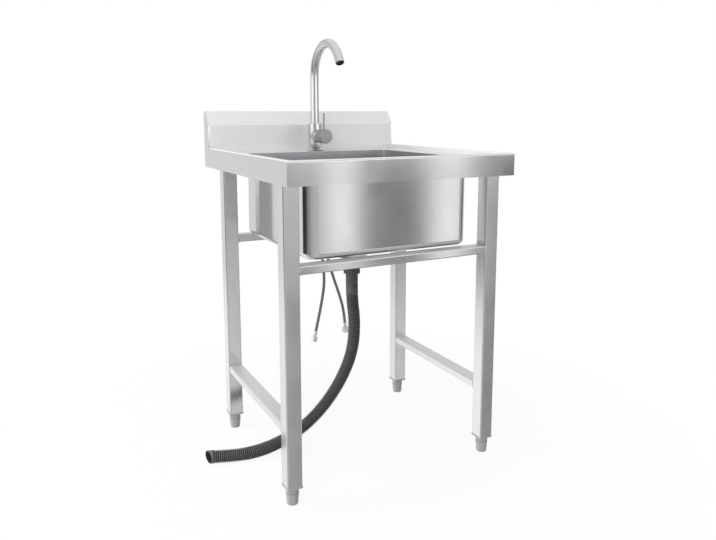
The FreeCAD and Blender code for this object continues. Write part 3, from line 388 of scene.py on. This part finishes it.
def own_place(tree):
    """The place on the piece, as X, Y and Z."""
    place = add_node(tree, "ShaderNodeTexCoord")
    parts = add_node(tree, "ShaderNodeSeparateXYZ")
    tree.links.new(place.outputs["Object"], parts.inputs["Vector"])
    return parts.outputs


def looks_up(tree):
    """1 on faces that look up, 0 on upright ones."""
    normal = add_node(tree, "ShaderNodeNewGeometry")
    facing = add_node(tree, "ShaderNodeSeparateXYZ")
    tree.links.new(normal.outputs["Normal"], facing.inputs["Vector"])
    return remap(tree, facing.outputs["Z"], 0.0, 1.0, 0.3, 0.8)


def deck_and_splash(tree):
    """1 on the splashback, inside the rim and on faces that look up, 0 on the aprons."""
    low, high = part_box("worktop")
    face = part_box("splash_rear_panel")[0].y - SPLASH_REACH
    place = own_place(tree)
    rear = remap(tree, place["Y"], 0.0, 1.0, face, face + SPLASH_EDGE)
    aside = add_node(tree, "ShaderNodeMath", operation="ABSOLUTE")
    tree.links.new(place["X"], aside.inputs[0])
    between = remap(tree, aside.outputs["Value"], 1.0, 0.0, high.x - SKIN * 2, high.x - SKIN)
    behind = remap(tree, place["Y"], 0.0, 1.0, low.y + SKIN, low.y + SKIN * 2)
    inside = join_values(tree, "MULTIPLY", between, join_values(tree, "MAXIMUM", rear, behind))
    return join_values(tree, "MAXIMUM", inside, looks_up(tree))


def inside_bowl(tree):
    """1 on faces that look towards the middle of the bowl, 0 on those that look away."""
    low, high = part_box("bowl")
    middle = (low + high) / 2
    place = add_node(tree, "ShaderNodeTexCoord")
    centre = add_node(tree, "ShaderNodeMapping", {"Location": (-middle.x, -middle.y, -high.z)})
    normal = add_node(tree, "ShaderNodeNewGeometry")
    facing = add_node(tree, "ShaderNodeVectorMath", operation="DOT_PRODUCT")
    tree.links.new(place.outputs["Object"], centre.inputs["Vector"])
    tree.links.new(centre.outputs["Vector"], facing.inputs[0])
    tree.links.new(normal.outputs["Normal"], facing.inputs[1])
    return remap(tree, facing.outputs["Value"], 1.0, 0.0, -0.01, 0.01)


def brushed_metal(name, colour, roughness, lines, relief=0.025, spread=0.02, mirror=1.0, satin=None):
    """Metal with fine brushing, a little uneven in gloss.

    Satin gives the mask of a duller place, the roughness there and the share of light it mirrors.
    """
    finish, tree, shader = start_finish(name)
    shader.inputs["Metallic"].default_value = mirror
    line = lines(tree)
    tone = remap(tree, line, 0.0, 1.0)
    tree.links.new(blend_colours(tree, tone, *shades(colour, spread)), shader.inputs["Base Color"])
    cloud = grain(tree, (9.0, 9.0, 9.0), 4.0)
    gloss = remap(tree, cloud, roughness * 0.88, roughness * 1.15)
    if satin:
        mask, rougher, duller = satin
        there = mask(tree)
        gloss = mix_values(tree, there, gloss, rougher)
        if duller < mirror:
            tree.links.new(mix_values(tree, there, mirror, duller), shader.inputs["Metallic"])
    tree.links.new(gloss, shader.inputs["Roughness"])
    if relief:
        raise_surface(tree, shader, line, relief, 0.0003)
    return finish


def moulded_plastic(name, colour, roughness, relief=0.15, scale=700.0):
    """Plastic with a fine moulded texture and slight cloudiness."""
    finish, tree, shader = start_finish(name)
    cloud = grain(tree, (40.0, 40.0, 40.0), 4.0)
    tone = remap(tree, cloud, 0.0, 1.0)
    tree.links.new(blend_colours(tree, tone, *shades(colour, 0.12)), shader.inputs["Base Color"])
    fine = grain(tree, (scale, scale, scale), 2.0)
    tree.links.new(remap(tree, fine, roughness - 0.06, roughness + 0.08), shader.inputs["Roughness"])
    raise_surface(tree, shader, fine, relief, 0.0002)
    return finish


def paint(finish, *names):
    for name in names:
        node = NODES[name]
        node.data.materials.clear()
        node.data.materials.append(finish)


# Shared mesh parts
def finish_piece(name, bm, finish, body, smooth=True, crease=None):
    """Makes the object of a piece from its mesh, and sets it on the body that carries it."""
    mesh = bpy.data.meshes.new(name)
    bm.to_mesh(mesh)
    bm.free()
    if smooth:
        mesh.shade_smooth()
    if crease:
        mesh.set_sharp_from_angle(angle=crease)
    mesh.materials.append(finish)
    piece = bpy.data.objects.new(name, mesh)
    bpy.context.scene.collection.objects.link(piece)
    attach(piece, body)
    return piece


def ring_across(point, direction, radius, seam):
    """The matrix that sets a unit circle across a line, its seam always to the same side."""
    across = (seam - direction * seam.dot(direction)).normalized()
    turn = Matrix((across, direction.cross(across), direction)).transposed()
    return Matrix.Translation(point) @ turn.to_4x4() @ Matrix.Scale(radius, 4)


class HoseLine:
    """The smooth line of a hose through its route, read from a NURBS curve."""

    def __init__(self, route):
        curve = bpy.data.curves.new("hose_line", "CURVE")
        curve.dimensions = "3D"
        curve.resolution_u = 40
        spline = curve.splines.new("NURBS")
        spline.points.add(len(route) - 1)
        for point, place in zip(spline.points, route):
            point.co = (*place, 1)
        spline.order_u = 3
        spline.use_endpoint_u = True
        holder = bpy.data.objects.new("hose_line", curve)
        mesh = bpy.data.meshes.new_from_object(holder)
        self.points = [vertex.co.copy() for vertex in mesh.vertices]
        bpy.data.objects.remove(holder)
        bpy.data.curves.remove(curve)
        bpy.data.meshes.remove(mesh)
        self.marks = [0.0]
        for before, after in zip(self.points, self.points[1:]):
            self.marks.append(self.marks[-1] + (after - before).length)
        self.length = self.marks[-1]

    def at(self, distance):
        """Point and direction at a distance along the hose."""
        distance = min(max(distance, 0.0), self.length)
        step = min(max(bisect_left(self.marks, distance), 1), len(self.marks) - 1)
        before, after = self.points[step - 1], self.points[step]
        share = (distance - self.marks[step - 1]) / (self.marks[step] - self.marks[step - 1])
        earlier = self.points[max(step - 2, 0)]
        later = self.points[min(step + 1, len(self.points) - 1)]
        arriving = (after - earlier).normalized()
        leaving = (later - before).normalized()
        return before.lerp(after, share), arriving.lerp(leaving, share).normalized()

    def section(self, distance, radius):
        return ring_across(*self.at(distance), radius, Vector((0, 1, 0)))


def sweep(bm, sections, sides):
    """Draws a ring through a row of sections. Returns the rings, each as its vertices and edges."""
    verts = bmesh.ops.create_circle(bm, segments=sides, radius=1.0, matrix=sections[0])["verts"]
    edges = list({edge for vert in verts for edge in vert.link_edges})
    rings = [(verts, edges)]
    for before, after in zip(sections, sections[1:]):
        made = bmesh.ops.extrude_edge_only(bm, edges=edges)["geom"]
        verts = [item for item in made if isinstance(item, bmesh.types.BMVert)]
        fresh = set(verts)
        edges = [item for item in made if isinstance(item, bmesh.types.BMEdge) and set(item.verts) <= fresh]
        bmesh.ops.transform(bm, matrix=after @ before.inverted(), verts=verts)
        rings.append((verts, edges))
    return rings


# Share of a rib's pitch and of its height, from root to root
RIB_PROFILE = (
    (0.0, 0.0), (0.10, 0.45), (0.20, 0.92), (0.34, 1.0), (0.50, 1.0), (0.64, 0.92), (0.74, 0.45), (0.84, 0.0),
)


def rib_stations(line, settings):
    """Distance and radius of every section of the corrugated hose, with a plain cuff at each end."""
    crest, root = settings.crest_radius, settings.root_radius
    cuff = crest * 2
    last = line.length - settings.end_cuff
    count = round((last - cuff) / settings.rib_pitch)
    pitch = (last - cuff) / count
    stations = [(0.0, crest), (cuff - pitch * 0.3, crest)]
    for rib in range(count):
        for share, rise in RIB_PROFILE:
            stations.append((cuff + (rib + share) * pitch, root + (crest - root) * rise))
    stations += [(last, root), (last + pitch * 0.3, crest), (line.length, crest)]
    return stations


# Mesh attribute: 0 at the root of a rib or in the bore, 1 on its crest
RIB_RISE = "rib_rise"


def ribbed_plastic(name, crest, groove, roughness):
    """Hose plastic, with painted shade between the ribs and scuffs on them."""
    finish, tree, shader = start_finish(name)
    shader.inputs["Specular IOR Level"].default_value = 0.12
    rise = add_node(tree, "ShaderNodeAttribute", attribute_name=RIB_RISE)
    scuff = remap(tree, grain(tree, (120.0, 120.0, 120.0), 4.0), 0.8, 1.0)
    # Painted shade: the colour darkens from each rib's crest down to its root
    share = join_values(tree, "MULTIPLY", remap(tree, rise.outputs["Fac"], 0.0, 1.0, 0.1, 0.95), scuff)
    tree.links.new(blend_colours(tree, share, groove, crest), shader.inputs["Base Color"])
    fine = grain(tree, (500.0, 500.0, 500.0), 2.0)
    tree.links.new(remap(tree, fine, roughness - 0.06, roughness + 0.08), shader.inputs["Roughness"])
    raise_surface(tree, shader, fine, 0.12, 0.0002)
    return finish


class SINK_OT_drain_hose(Operator):
    """Makes the corrugated drain hose along its route"""

    bl_idname = "sink.drain_hose"
    bl_label = "Drain hose"

    def execute(self, context):
        settings = context.scene.sink_hoses
        colours = context.scene.sink_finishes
        line = HoseLine(DRAIN_ROUTE)
        stations = rib_stations(line, settings)
        outside = [line.section(*station) for station in stations]
        steps = round(line.length / settings.rib_pitch)
        inside = [line.section(line.length * (1 - step / steps), settings.bore_radius)
                  for step in range(steps + 1)]
        slant = Matrix.Identity(4)
        slant[2][0] = math.tan(settings.end_cut)
        outside[-1] = outside[-1] @ slant
        inside[0] = inside[0] @ slant
        bm = bmesh.new()
        rise = bm.verts.layers.float.new(RIB_RISE)
        rings = sweep(bm, outside + inside, settings.rib_sides)
        span = settings.crest_radius - settings.root_radius
        for (verts, _), (_, radius) in zip(rings, stations):
            for vert in verts:
                vert[rise] = (radius - settings.root_radius) / span
        bmesh.ops.bridge_loops(bm, edges=rings[0][1] + rings[-1][1])
        bmesh.ops.recalc_face_normals(bm, faces=bm.faces)
        finish = ribbed_plastic("hose_plastic", colours.hose, colours.hose_groove_shade, 0.42)
        hose = finish_piece("drain_hose_corrugated", bm, finish, "frame")
        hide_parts("drain_hose")
        return {"FINISHED"}


STEPS_PER_CROSSING = 4


def weave(rings, sections, settings):
    """Lifts the braid's wire bundles out of a plain tube, over and under each other."""
    turns = settings.braid_waves
    for step, ((verts, _), section) in enumerate(zip(rings, sections)):
        travel = 2 * math.pi * step / STEPS_PER_CROSSING
        back = section.inverted()
        for vert in verts:
            local = back @ vert.co
            angle = math.atan2(local.y, local.x)
            right = math.cos(turns * angle + travel)
            left = math.cos(turns * angle - travel)
            lift = max(right, left) - 1
            share = 1 + lift * settings.braid_relief / settings.supply_radius
            vert.co = section @ Vector((local.x * share, local.y * share, local.z))


class SINK_OT_supply_hoses(Operator):
    """Makes the two braided supply hoses along their routes, and finishes their unions"""

    bl_idname = "sink.supply_hoses"
    bl_label = "Supply hoses"

    def execute(self, context):
        settings = context.scene.sink_hoses
        colours = context.scene.sink_finishes
        braid = brushed_metal("braid", colours.braid, 0.36, lines_along("z"), 0.2, 0.2)
        # Painted highlight: the unions take the plated colour made lighter, standing in for the light they
        # catch
        plated_lit = shades(colours.plated, 0.15)[1]
        plated = brushed_metal("plated_union_lit", plated_lit, 0.22, lines_along("x", "y"), 0.06, 0.05, mirror=0.8)
        for supply in SUPPLIES:
            line = HoseLine(SUPPLY_ROUTES[supply])
            steps = round(line.length * STEPS_PER_CROSSING / settings.braid_pitch)
            sections = [line.section(line.length * step / steps, settings.supply_radius)
                        for step in range(steps + 1)]
            bm = bmesh.new()
            rings = sweep(bm, sections, settings.braid_waves * 4)
            weave(rings, sections, settings)
            for _, edges in (rings[0], rings[-1]):
                bmesh.ops.edgeloop_fill(bm, edges=edges)
            bmesh.ops.recalc_face_normals(bm, faces=bm.faces)
            hose = finish_piece(f"supply_hose_{supply}_braided", bm, braid, "frame")
            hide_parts(f"supply_hose_{supply}")
            paint(plated, f"supply_ferrule_{supply}", f"supply_nut_{supply}")
        return {"FINISHED"}


class SINK_OT_sheet_metal(Operator):
    """Finishes the worktop, the splashback's rear, the bowl and the channels under the deck"""

    bl_idname = "sink.sheet_metal"
    bl_label = "Worktop and bowl"

    def execute(self, context):
        colours = context.scene.sink_finishes
        rough = colours.steel_roughness
        satin = (deck_and_splash, colours.satin_roughness, colours.satin_mirror)
        sheet = brushed_metal("sheet_steel", colours.sheet, rough, lines_on_folds, satin=satin)
        paint(sheet, "worktop", "splash_rear_panel", *(f"stiffener_{side}" for side in SIDES))
        inside = (inside_bowl, colours.bowl_roughness, 0.95)
        bowl = brushed_metal("bowl_steel", colours.bowl, rough * 0.85, lines_on_folds, satin=inside)
        paint(bowl, "bowl")
        return {"FINISHED"}


WELD_PROUD = 0.0007
WELD_REACH = 0.0022
WELD_ROUND = 0.0009


def weld_rail_ends(bm, rail, axis):
    """A rounded bead round each end of a rail, where it meets the legs."""
    low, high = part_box(rail)
    middle = (low + high) / 2
    spans = (high - low) / 2 + Vector((WELD_PROUD, WELD_PROUD, WELD_PROUD))
    spans[axis] = WELD_REACH
    for end in (low[axis], high[axis]):
        place = middle.copy()
        place[axis] = end
        shape = Matrix.Translation(place) @ Matrix.Diagonal((*(spans * 2), 1))
        verts = bmesh.ops.create_cube(bm, size=1.0, matrix=shape)["verts"]
        edges = list({edge for vert in verts for edge in vert.link_edges})
        bmesh.ops.bevel(bm, geom=edges, offset=WELD_ROUND, affect="EDGES", segments=3, profile=0.5,
                        material=-1)


class SINK_OT_frame_tubes(Operator):
    """Finishes the legs, rails and leg sockets, and lays the weld beads"""

    bl_idname = "sink.frame_tubes"
    bl_label = "Legs and rails"

    def execute(self, context):
        colours = context.scene.sink_finishes
        legs = [f"leg_{corner}" for corner in CORNERS]
        satin = (looks_up, colours.satin_roughness, 0.80)
        for name, axis, roughness, nodes in (
                ("leg_steel", "z", colours.tube_roughness, legs),
                ("cross_rail_steel", "x", colours.steel_roughness, ("rail_front", "rail_rear")),
                ("side_rail_steel", "y", colours.tube_roughness, ("rail_left", "rail_right"))):
            paint(brushed_metal(name, colours.tube, roughness, lines_along(axis), mirror=colours.tube_mirror,
                                satin=satin), *nodes)
        plated = brushed_metal("socket_steel", colours.plated, 0.3, lines_along("z"))
        paint(plated, "leg_screws", *(f"leg_socket_{corner}" for corner in CORNERS))
        bm = bmesh.new()
        for rail, axis in (("rail_front", 0), ("rail_rear", 0), ("rail_left", 1), ("rail_right", 1)):
            weld_rail_ends(bm, rail, axis)
        weld = brushed_metal("weld_steel", shades(colours.tube, 0.12)[0], 0.34, lines_along(), 0.5, 0.15)
        finish_piece("rail_welds", bm, weld, "frame")
        return {"FINISHED"}


class SINK_OT_feet(Operator):
    """Finishes the leg plugs and the levelling feet"""

    bl_idname = "sink.feet"
    bl_label = "Plugs and feet"

    def execute(self, context):
        colours = context.scene.sink_finishes
        plug = moulded_plastic("plug_plastic", colours.grey_plastic, 0.45)
        paint(plug, *(f"leg_insert_{corner}" for corner in CORNERS))
        foot = brushed_metal("foot_metal", colours.foot, 0.42, lines_along("z"), 0.10, 0.10, mirror=0.55)
        paint(foot, *(f"foot_{corner}" for corner in CORNERS))
        return {"FINISHED"}


# The spout: upright, bent through an arch, then straight to the outlet
SPOUT_DROOP = math.radians(150)
SPOUT_RISER = 0.134
SPOUT_ARCH = 0.086
SPOUT_TAIL = 0.018
SPOUT_WALL = 0.002
SPOUT_LIFT = 0.0003
SPOUT_EDGE = 0.0006
SPOUT_SIDES = 48
ARCH_STEPS = 50
POLISH_RISE = 0.01
POLISH_FADE = 0.04
SPIGOT_BORE = 0.007
SPIGOT_FLOOR = 0.003
SCREEN_INSET = 0.0009
SCREEN_WIRE = 0.00035
SCREEN_CELLS = 12


def above_riser(tree):
    """1 on the arch of the spout, 0 on what stands below it."""
    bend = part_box("tap_body")[1].z + SPOUT_LIFT + SPOUT_RISER + POLISH_RISE
    return remap(tree, own_place(tree)["Z"], 0.0, 1.0, bend - POLISH_FADE, bend)


class SINK_OT_tap(Operator):
    """Finishes the tap, and makes the aerator's screen"""

    bl_idname = "sink.tap"
    bl_label = "Tap"

    def execute(self, context):
        colours = context.scene.sink_finishes
        satin = brushed_metal("tap_nickel", colours.tap, 0.11, lines_along("x", "y"), relief=0,
                              satin=(above_riser, 0.27, 1.0))
        paint(satin, "tap_base_ring", "tap_body", "tap_turntable")
        self.bend_spout(satin)
        disc = brushed_metal("handle_nickel", colours.handle, 0.30, rings_round_handle, 0.08, 0.10)
        paint(disc, "tap_handle_cap")
        lever = brushed_metal("lever_nickel", colours.handle, 0.16, lines_along("z"), 0.01, 0.05)
        paint(lever, "tap_lever")
        plated = brushed_metal("tap_fixings", colours.plated, 0.26, lines_along("x", "y"), 0.06, 0.05)
        paint(plated, "tap_shank", "tap_steel_washer", "tap_mounting_nut", "tap_stem", "tap_stem_pin",
              "tap_grub_screw")
        paint(moulded_plastic("aerator_plastic", colours.black_plastic, 0.38), "tap_aerator", "tap_cartridge")
        paint(moulded_plastic("tap_rubber", colours.rubber, 0.62), "tap_gasket", "tap_rubber_washer",
              "tap_spout_seal")
        self.make_screen(colours)
        return {"FINISHED"}

    def bend_spout(self, finish):
        low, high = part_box("tap_spout")
        seal_low, seal_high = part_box("tap_spout_seal")
        radius = (high.x - low.x) / 2
        bore = radius - SPOUT_WALL
        spigot = (seal_high.x - seal_low.x) / 2
        groove = bore_of("tap_spout_seal")
        axis_y = high.y - radius
        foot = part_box("tap_body")[1].z + SPOUT_LIFT
        seam = Vector((1, 0, 0))
        hub = Vector((0, axis_y - SPOUT_ARCH, foot + SPOUT_RISER))
        line = []
        for step in range(ARCH_STEPS + 1):
            angle = SPOUT_DROOP * step / ARCH_STEPS
            out = Vector((0, math.cos(angle), math.sin(angle)))
            line.append((hub + out * SPOUT_ARCH, Vector((0, -out.z, out.y))))
        bend_end, flow = line[-1]
        outlet = bend_end + flow * SPOUT_TAIL

        def upright(level, ring_radius):
            return ring_across(Vector((0, axis_y, level)), Vector((0, 0, 1)), ring_radius, seam)

        outside = [upright(level, size) for level, size in (
            (low.z, spigot), (seal_low.z, spigot), (seal_low.z, groove), (seal_high.z, groove),
            (seal_high.z, spigot), (foot, spigot), (foot, radius - SPOUT_EDGE), (foot + SPOUT_EDGE, radius))]
        outside += [ring_across(point, direction, radius, seam) for point, direction in line]
        outside.append(ring_across(outlet - flow * SPOUT_EDGE, flow, radius, seam))
        outside.append(ring_across(outlet, flow, radius - SPOUT_EDGE, seam))
        inside = [ring_across(outlet, flow, bore, seam)]
        inside += [ring_across(point, direction, bore, seam) for point, direction in reversed(line)]
        inside += [upright(level, size) for level, size in (
            (foot + SPIGOT_FLOOR, bore), (foot + SPIGOT_FLOOR, SPIGOT_BORE), (low.z, SPIGOT_BORE))]
        bm = bmesh.new()
        rings = sweep(bm, outside + inside, SPOUT_SIDES)
        bmesh.ops.bridge_loops(bm, edges=rings[0][1] + rings[-1][1])
        bmesh.ops.recalc_face_normals(bm, faces=bm.faces)
        spout = finish_piece("tap_spout_bent", bm, finish, "spout", crease=math.radians(35))
        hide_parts("tap_spout")

    def make_screen(self, colours):
        low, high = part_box("tap_aerator")
        flow = Vector((0, -math.sin(SPOUT_DROOP), math.cos(SPOUT_DROOP)))
        radius = (high.x - low.x) / 2 - 0.0014
        places = [vertex.co for vertex in NODES["tap_aerator"].data.vertices]
        corner = max(places, key=lambda place: place @ flow)
        mouth = Vector((0, (low.y + high.y) / 2, (low.z + high.z) / 2))
        mouth += flow * ((corner - mouth) @ flow - SCREEN_INSET)
        aim = Matrix.Translation(mouth) @ flow.to_track_quat("-Z", "X").to_matrix().to_4x4()
        bm = bmesh.new()
        bmesh.ops.create_grid(bm, x_segments=SCREEN_CELLS, y_segments=SCREEN_CELLS, size=radius)
        outside = [vert for vert in bm.verts if vert.co.length > radius]
        bmesh.ops.delete(bm, geom=outside, context="VERTS")
        bmesh.ops.wireframe(bm, faces=bm.faces, thickness=SCREEN_WIRE, offset=0.0, use_replace=True,
                            use_boundary=True, use_even_offset=True)
        bmesh.ops.transform(bm, matrix=aim, verts=bm.verts)
        finish = moulded_plastic("screen_plastic", shades(colours.black_plastic, 0.5)[1], 0.4)
        finish_piece("tap_aerator_screen", bm, finish, "spout", smooth=False)


def bore_of(node):
    """The smallest radius of an upright turned solid."""
    low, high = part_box(node)
    centre = (low + high) / 2
    return min((vertex.co - centre).xy.length for vertex in NODES[node].data.vertices)


def ribbed_nut(name, node, lugs, depth, finish):
    """A hand-tightened nut with grip lugs round it, in place of its plain ring."""
    low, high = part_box(node)
    centre = (low + high) / 2
    outer = (high.x - low.x) / 2
    inner = bore_of(node)
    sides = lugs * 4
    bm = bmesh.new()
    loops = []
    for radius, is_grip in ((outer, True), (inner, False)):
        base = Matrix.Translation((centre.x, centre.y, low.z))
        verts = bmesh.ops.create_circle(bm, segments=sides, radius=radius, matrix=base)["verts"]
        edges = list({edge for vert in verts for edge in vert.link_edges})
        if is_grip:
            hollows = [vert for number, vert in enumerate(verts) if number % 4 in (2, 3)]
            share = (radius - depth) / radius
            middle = Matrix.Translation((-centre.x, -centre.y, 0))
            bmesh.ops.scale(bm, vec=(share, share, 1), space=middle, verts=hollows)
        made = bmesh.ops.extrude_edge_only(bm, edges=edges)["geom"]
        top = [item for item in made if isinstance(item, bmesh.types.BMVert)]
        bmesh.ops.translate(bm, vec=(0, 0, high.z - low.z), verts=top)
        fresh = set(top)
        top_edges = [item for item in made
                     if isinstance(item, bmesh.types.BMEdge) and set(item.verts) <= fresh]
        loops.append((edges, top_edges))
    for level in (0, 1):
        bmesh.ops.bridge_loops(bm, edges=loops[0][level] + loops[1][level])
    bmesh.ops.recalc_face_normals(bm, faces=bm.faces)
    bmesh.ops.bevel(bm, geom=loops[0][0] + loops[0][1], offset=depth * 0.5, affect="EDGES", segments=2,
                    profile=0.5, material=-1)
    piece = finish_piece(name, bm, finish, "frame", smooth=False)
    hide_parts(node)
    return piece


class SINK_OT_drain(Operator):
    """Finishes the drain, and makes the grip lugs of its nuts"""

    bl_idname = "sink.drain"
    bl_label = "Drain"

    def execute(self, context):
        colours = context.scene.sink_finishes
        polished = brushed_metal("drain_steel", colours.drain, 0.14, lines_along("x", "y"), 0.05, 0.04)
        paint(polished, "drain_body", "strainer_basket")
        paint(moulded_plastic("drain_rubber", colours.rubber, 0.6), "drain_gasket")
        dark = moulded_plastic("nut_plastic", colours.drain_plastic, 0.42)
        paint(dark, "drain_hose_cuff")
        ribbed_nut("drain_lock_nut_ribbed", "drain_lock_nut", 18, 0.003, dark)
        ribbed_nut("drain_slip_nut_ribbed", "drain_slip_nut", 14, 0.0014, dark)
        return {"FINISHED"}


# Stage
def bearing_ramp(tree, source, stops, span):
    """Levels by bearing, with the stops and their span given in degrees."""
    first, last = span
    share = add_node(tree, "ShaderNodeMapRange", {
        "From Min": math.radians(first), "From Max": math.radians(last), "To Min": 0.0, "To Max": 1.0})
    tree.links.new(source, share.inputs["Value"])
    ramp = add_node(tree, "ShaderNodeValToRGB")
    ramp.color_ramp.interpolation = "EASE"
    marks = ramp.color_ramp.elements
    while len(marks) < len(stops):
        marks.new(0.5)
    for mark, (bearing, level) in zip(marks, stops):
        mark.position = (bearing - first) / (last - first)
    for mark, (bearing, level) in zip(marks, stops):
        mark.color = (level, level, level, 1)
    tree.links.new(share.outputs["Result"], ramp.inputs["Fac"])
    return ramp.outputs["Color"]


def in_span(tree, bearing, span):
    """1 between two bearings, given in degrees, and 0 elsewhere."""
    first, last = (math.radians(end) for end in span)
    return join_values(tree, "MULTIPLY", join_values(tree, "GREATER_THAN", bearing, first),
                       join_values(tree, "LESS_THAN", bearing, last))


class SINK_OT_stage(Operator):
    """Sets up the camera, the floor, the light and what the metal mirrors"""

    bl_idname = "sink.stage"
    bl_label = "Stage"

    def execute(self, context):
        settings = context.scene.sink_stage
        self.set_camera(context, settings)
        self.lay_floor(settings)
        self.light_world(context)
        for name, place, power, size in (
                ("soft_lamp", settings.lamp_place, settings.lamp_power, settings.lamp_size),
                ("side_lamp", settings.side_place, settings.side_power, settings.side_size)):
            self.hang_lamp(context, name, Vector(place), Vector(settings.lamp_aim), power, size)
        context.scene.view_settings.view_transform = "Standard"
        return {"FINISHED"}

    def set_camera(self, context, settings):
        data = bpy.data.cameras.new("photo_camera")
        data.sensor_fit = "HORIZONTAL"
        data.sensor_width = 36.0
        data.lens = settings.lens
        data.shift_x, data.shift_y = settings.shift
        turn, dip = settings.camera_turn, settings.camera_dip
        ahead = Vector((math.sin(turn) * math.cos(dip), math.cos(turn) * math.cos(dip), -math.sin(dip)))
        right = Vector((math.cos(turn), -math.sin(turn), 0))
        up = right.cross(ahead)
        aim = Matrix((right, up, -ahead)).transposed().to_4x4()
        camera = bpy.data.objects.new("photo_camera", data)
        camera.matrix_world = (Matrix.Translation(settings.camera_place) @ aim
                               @ Matrix.Rotation(settings.camera_roll, 4, "Z"))
        context.scene.collection.objects.link(camera)
        context.scene.camera = camera

    def lay_floor(self, settings):
        bm = bmesh.new()
        bmesh.ops.create_grid(bm, x_segments=4, y_segments=4, size=settings.floor_reach)
        mesh = bpy.data.meshes.new("floor")
        bm.to_mesh(mesh)
        bm.free()
        finish, tree, shader = start_finish("floor_white")
        tone = remap(tree, grain(tree, (0.6, 0.6, 0.6)), 0.0, 1.0)
        colour = tuple(settings.floor)
        tree.links.new(blend_colours(tree, tone, *shades(colour, 0.01)), shader.inputs["Base Color"])
        shader.inputs["Roughness"].default_value = 0.9
        glow = add_node(tree, "ShaderNodeEmission", {"Color": (1, 1, 1, 1), "Strength": 1.0})
        path = add_node(tree, "ShaderNodeLightPath")
        place = add_node(tree, "ShaderNodeTexCoord")
        reach = add_node(tree, "ShaderNodeVectorMath", operation="LENGTH")
        tree.links.new(place.outputs["Object"], reach.inputs[0])
        fade = remap(tree, reach.outputs["Value"], 0.91, 1.0, 0.3, 1.0)
        share = join_values(tree, "MULTIPLY", path.outputs["Is Camera Ray"], fade)
        mix = add_node(tree, "ShaderNodeMixShader")
        tree.links.new(share, mix.inputs["Fac"])
        tree.links.new(shader.outputs["BSDF"], mix.inputs[1])
        tree.links.new(glow.outputs["Emission"], mix.inputs[2])
        tree.links.new(mix.outputs["Shader"], tree.nodes["Material Output"].inputs["Surface"])
        mesh.materials.append(finish)
        floor = bpy.data.objects.new("floor", mesh)
        floor.visible_glossy = False
        bpy.context.scene.collection.objects.link(floor)

    def light_world(self, context):
        world = bpy.data.worlds.new("studio")
        world.use_nodes = True
        context.scene.world = world
        tree = world.node_tree
        place = add_node(tree, "ShaderNodeTexCoord")
        parts = add_node(tree, "ShaderNodeSeparateXYZ")
        tree.links.new(place.outputs["Generated"], parts.inputs["Vector"])
        ahead = join_values(tree, "MULTIPLY", parts.outputs["Y"], -1.0)
        bearing = join_values(tree, "ARCTAN2", parts.outputs["X"], ahead)
        low, foot, high, fill = (bearing_ramp(tree, bearing, stops, FULL_TURN) for stops in (
            MIRROR_LOW, MIRROR_FOOT, MIRROR_LEVEL, FILL_LEVEL))
        strips = bearing_ramp(tree, bearing, MIRROR_STRIPS, STRIP_SPAN)
        low = mix_values(tree, in_span(tree, bearing, STRIP_SPAN), low, strips)
        rise = parts.outputs["Z"]
        low = mix_values(tree, remap(tree, rise, 1.0, 0.0, *FOOT_BAND), low, foot)
        below = join_values(tree, "MULTIPLY", in_span(tree, bearing, FLOOR_SPAN),
                            remap(tree, rise, 1.0, 0.0, *FLOOR_BAND))
        low = mix_values(tree, below, low, MIRROR_FLOOR)
        high = mix_values(tree, remap(tree, rise, 0.0, 1.0, *ABOVE_BAND), high, MIRROR_ABOVE)
        high = mix_values(tree, remap(tree, rise, 0.0, 1.0, *TOP_BAND), high, MIRROR_TOP)
        eye_line = mix_values(tree, in_span(tree, bearing, AHEAD_SPAN),
                              remap(tree, rise, 0.0, 1.0, *EYE_BAND_ROUND),
                              remap(tree, rise, 0.0, 1.0, *EYE_BAND_AHEAD))
        level = mix_values(tree, eye_line, low, high)
        path = add_node(tree, "ShaderNodeLightPath")
        seen = mix_values(tree, path.outputs["Is Glossy Ray"], fill, level)
        shown = mix_values(tree, path.outputs["Is Camera Ray"], seen, 1.0)
        background = tree.nodes["Background"]
        background.inputs["Color"].default_value = (1, 1, 1, 1)
        tree.links.new(shown, background.inputs["Strength"])

    def hang_lamp(self, context, name, place, target, power, size):
        data = bpy.data.lights.new(name, "AREA")
        data.shape = "DISK"
        data.size = size
        data.energy = power
        lamp = bpy.data.objects.new(name, data)
        aim = (target - place).to_track_quat("-Z", "Y")
        lamp.matrix_world = Matrix.Translation(place) @ aim.to_matrix().to_4x4()
        lamp.visible_glossy = False
        context.scene.collection.objects.link(lamp)


OPERATORS = (
    SINK_OT_stage, SINK_OT_drain_hose, SINK_OT_supply_hoses, SINK_OT_sheet_metal, SINK_OT_frame_tubes,
    SINK_OT_feet, SINK_OT_tap, SINK_OT_drain,
)
SETTINGS = {"sink_finishes": SinkFinishes, "sink_hoses": SinkHoses, "sink_stage": SinkStage}


class SINK_PT_pieces(Panel):
    """Lists what the sink is made of"""

    bl_idname = "SINK_PT_pieces"
    bl_label = "Steel sink"
    bl_space_type = "VIEW_3D"
    bl_region_type = "UI"
    bl_category = "Sink"

    def draw(self, context):
        for operator in OPERATORS:
            self.layout.operator(operator.bl_idname)
        for name, group in SETTINGS.items():
            box = self.layout.box()
            box.label(text=group.__doc__)
            for key in group.__annotations__:
                box.prop(getattr(context.scene, name), key)


def register():
    for item in (*SETTINGS.values(), *OPERATORS, SINK_PT_pieces):
        bpy.utils.register_class(item)
    for name, group in SETTINGS.items():
        setattr(bpy.types.Scene, name, PointerProperty(type=group))


def unregister():
    for name in SETTINGS:
        delattr(bpy.types.Scene, name)
    for item in (SINK_PT_pieces, *reversed(OPERATORS), *SETTINGS.values()):
        bpy.utils.unregister_class(item)


def main():
    register()
    for operator in OPERATORS:
        group, name = operator.bl_idname.split(".")
        getattr(getattr(bpy.ops, group), name)()


if __name__ == "__main__":
    main()
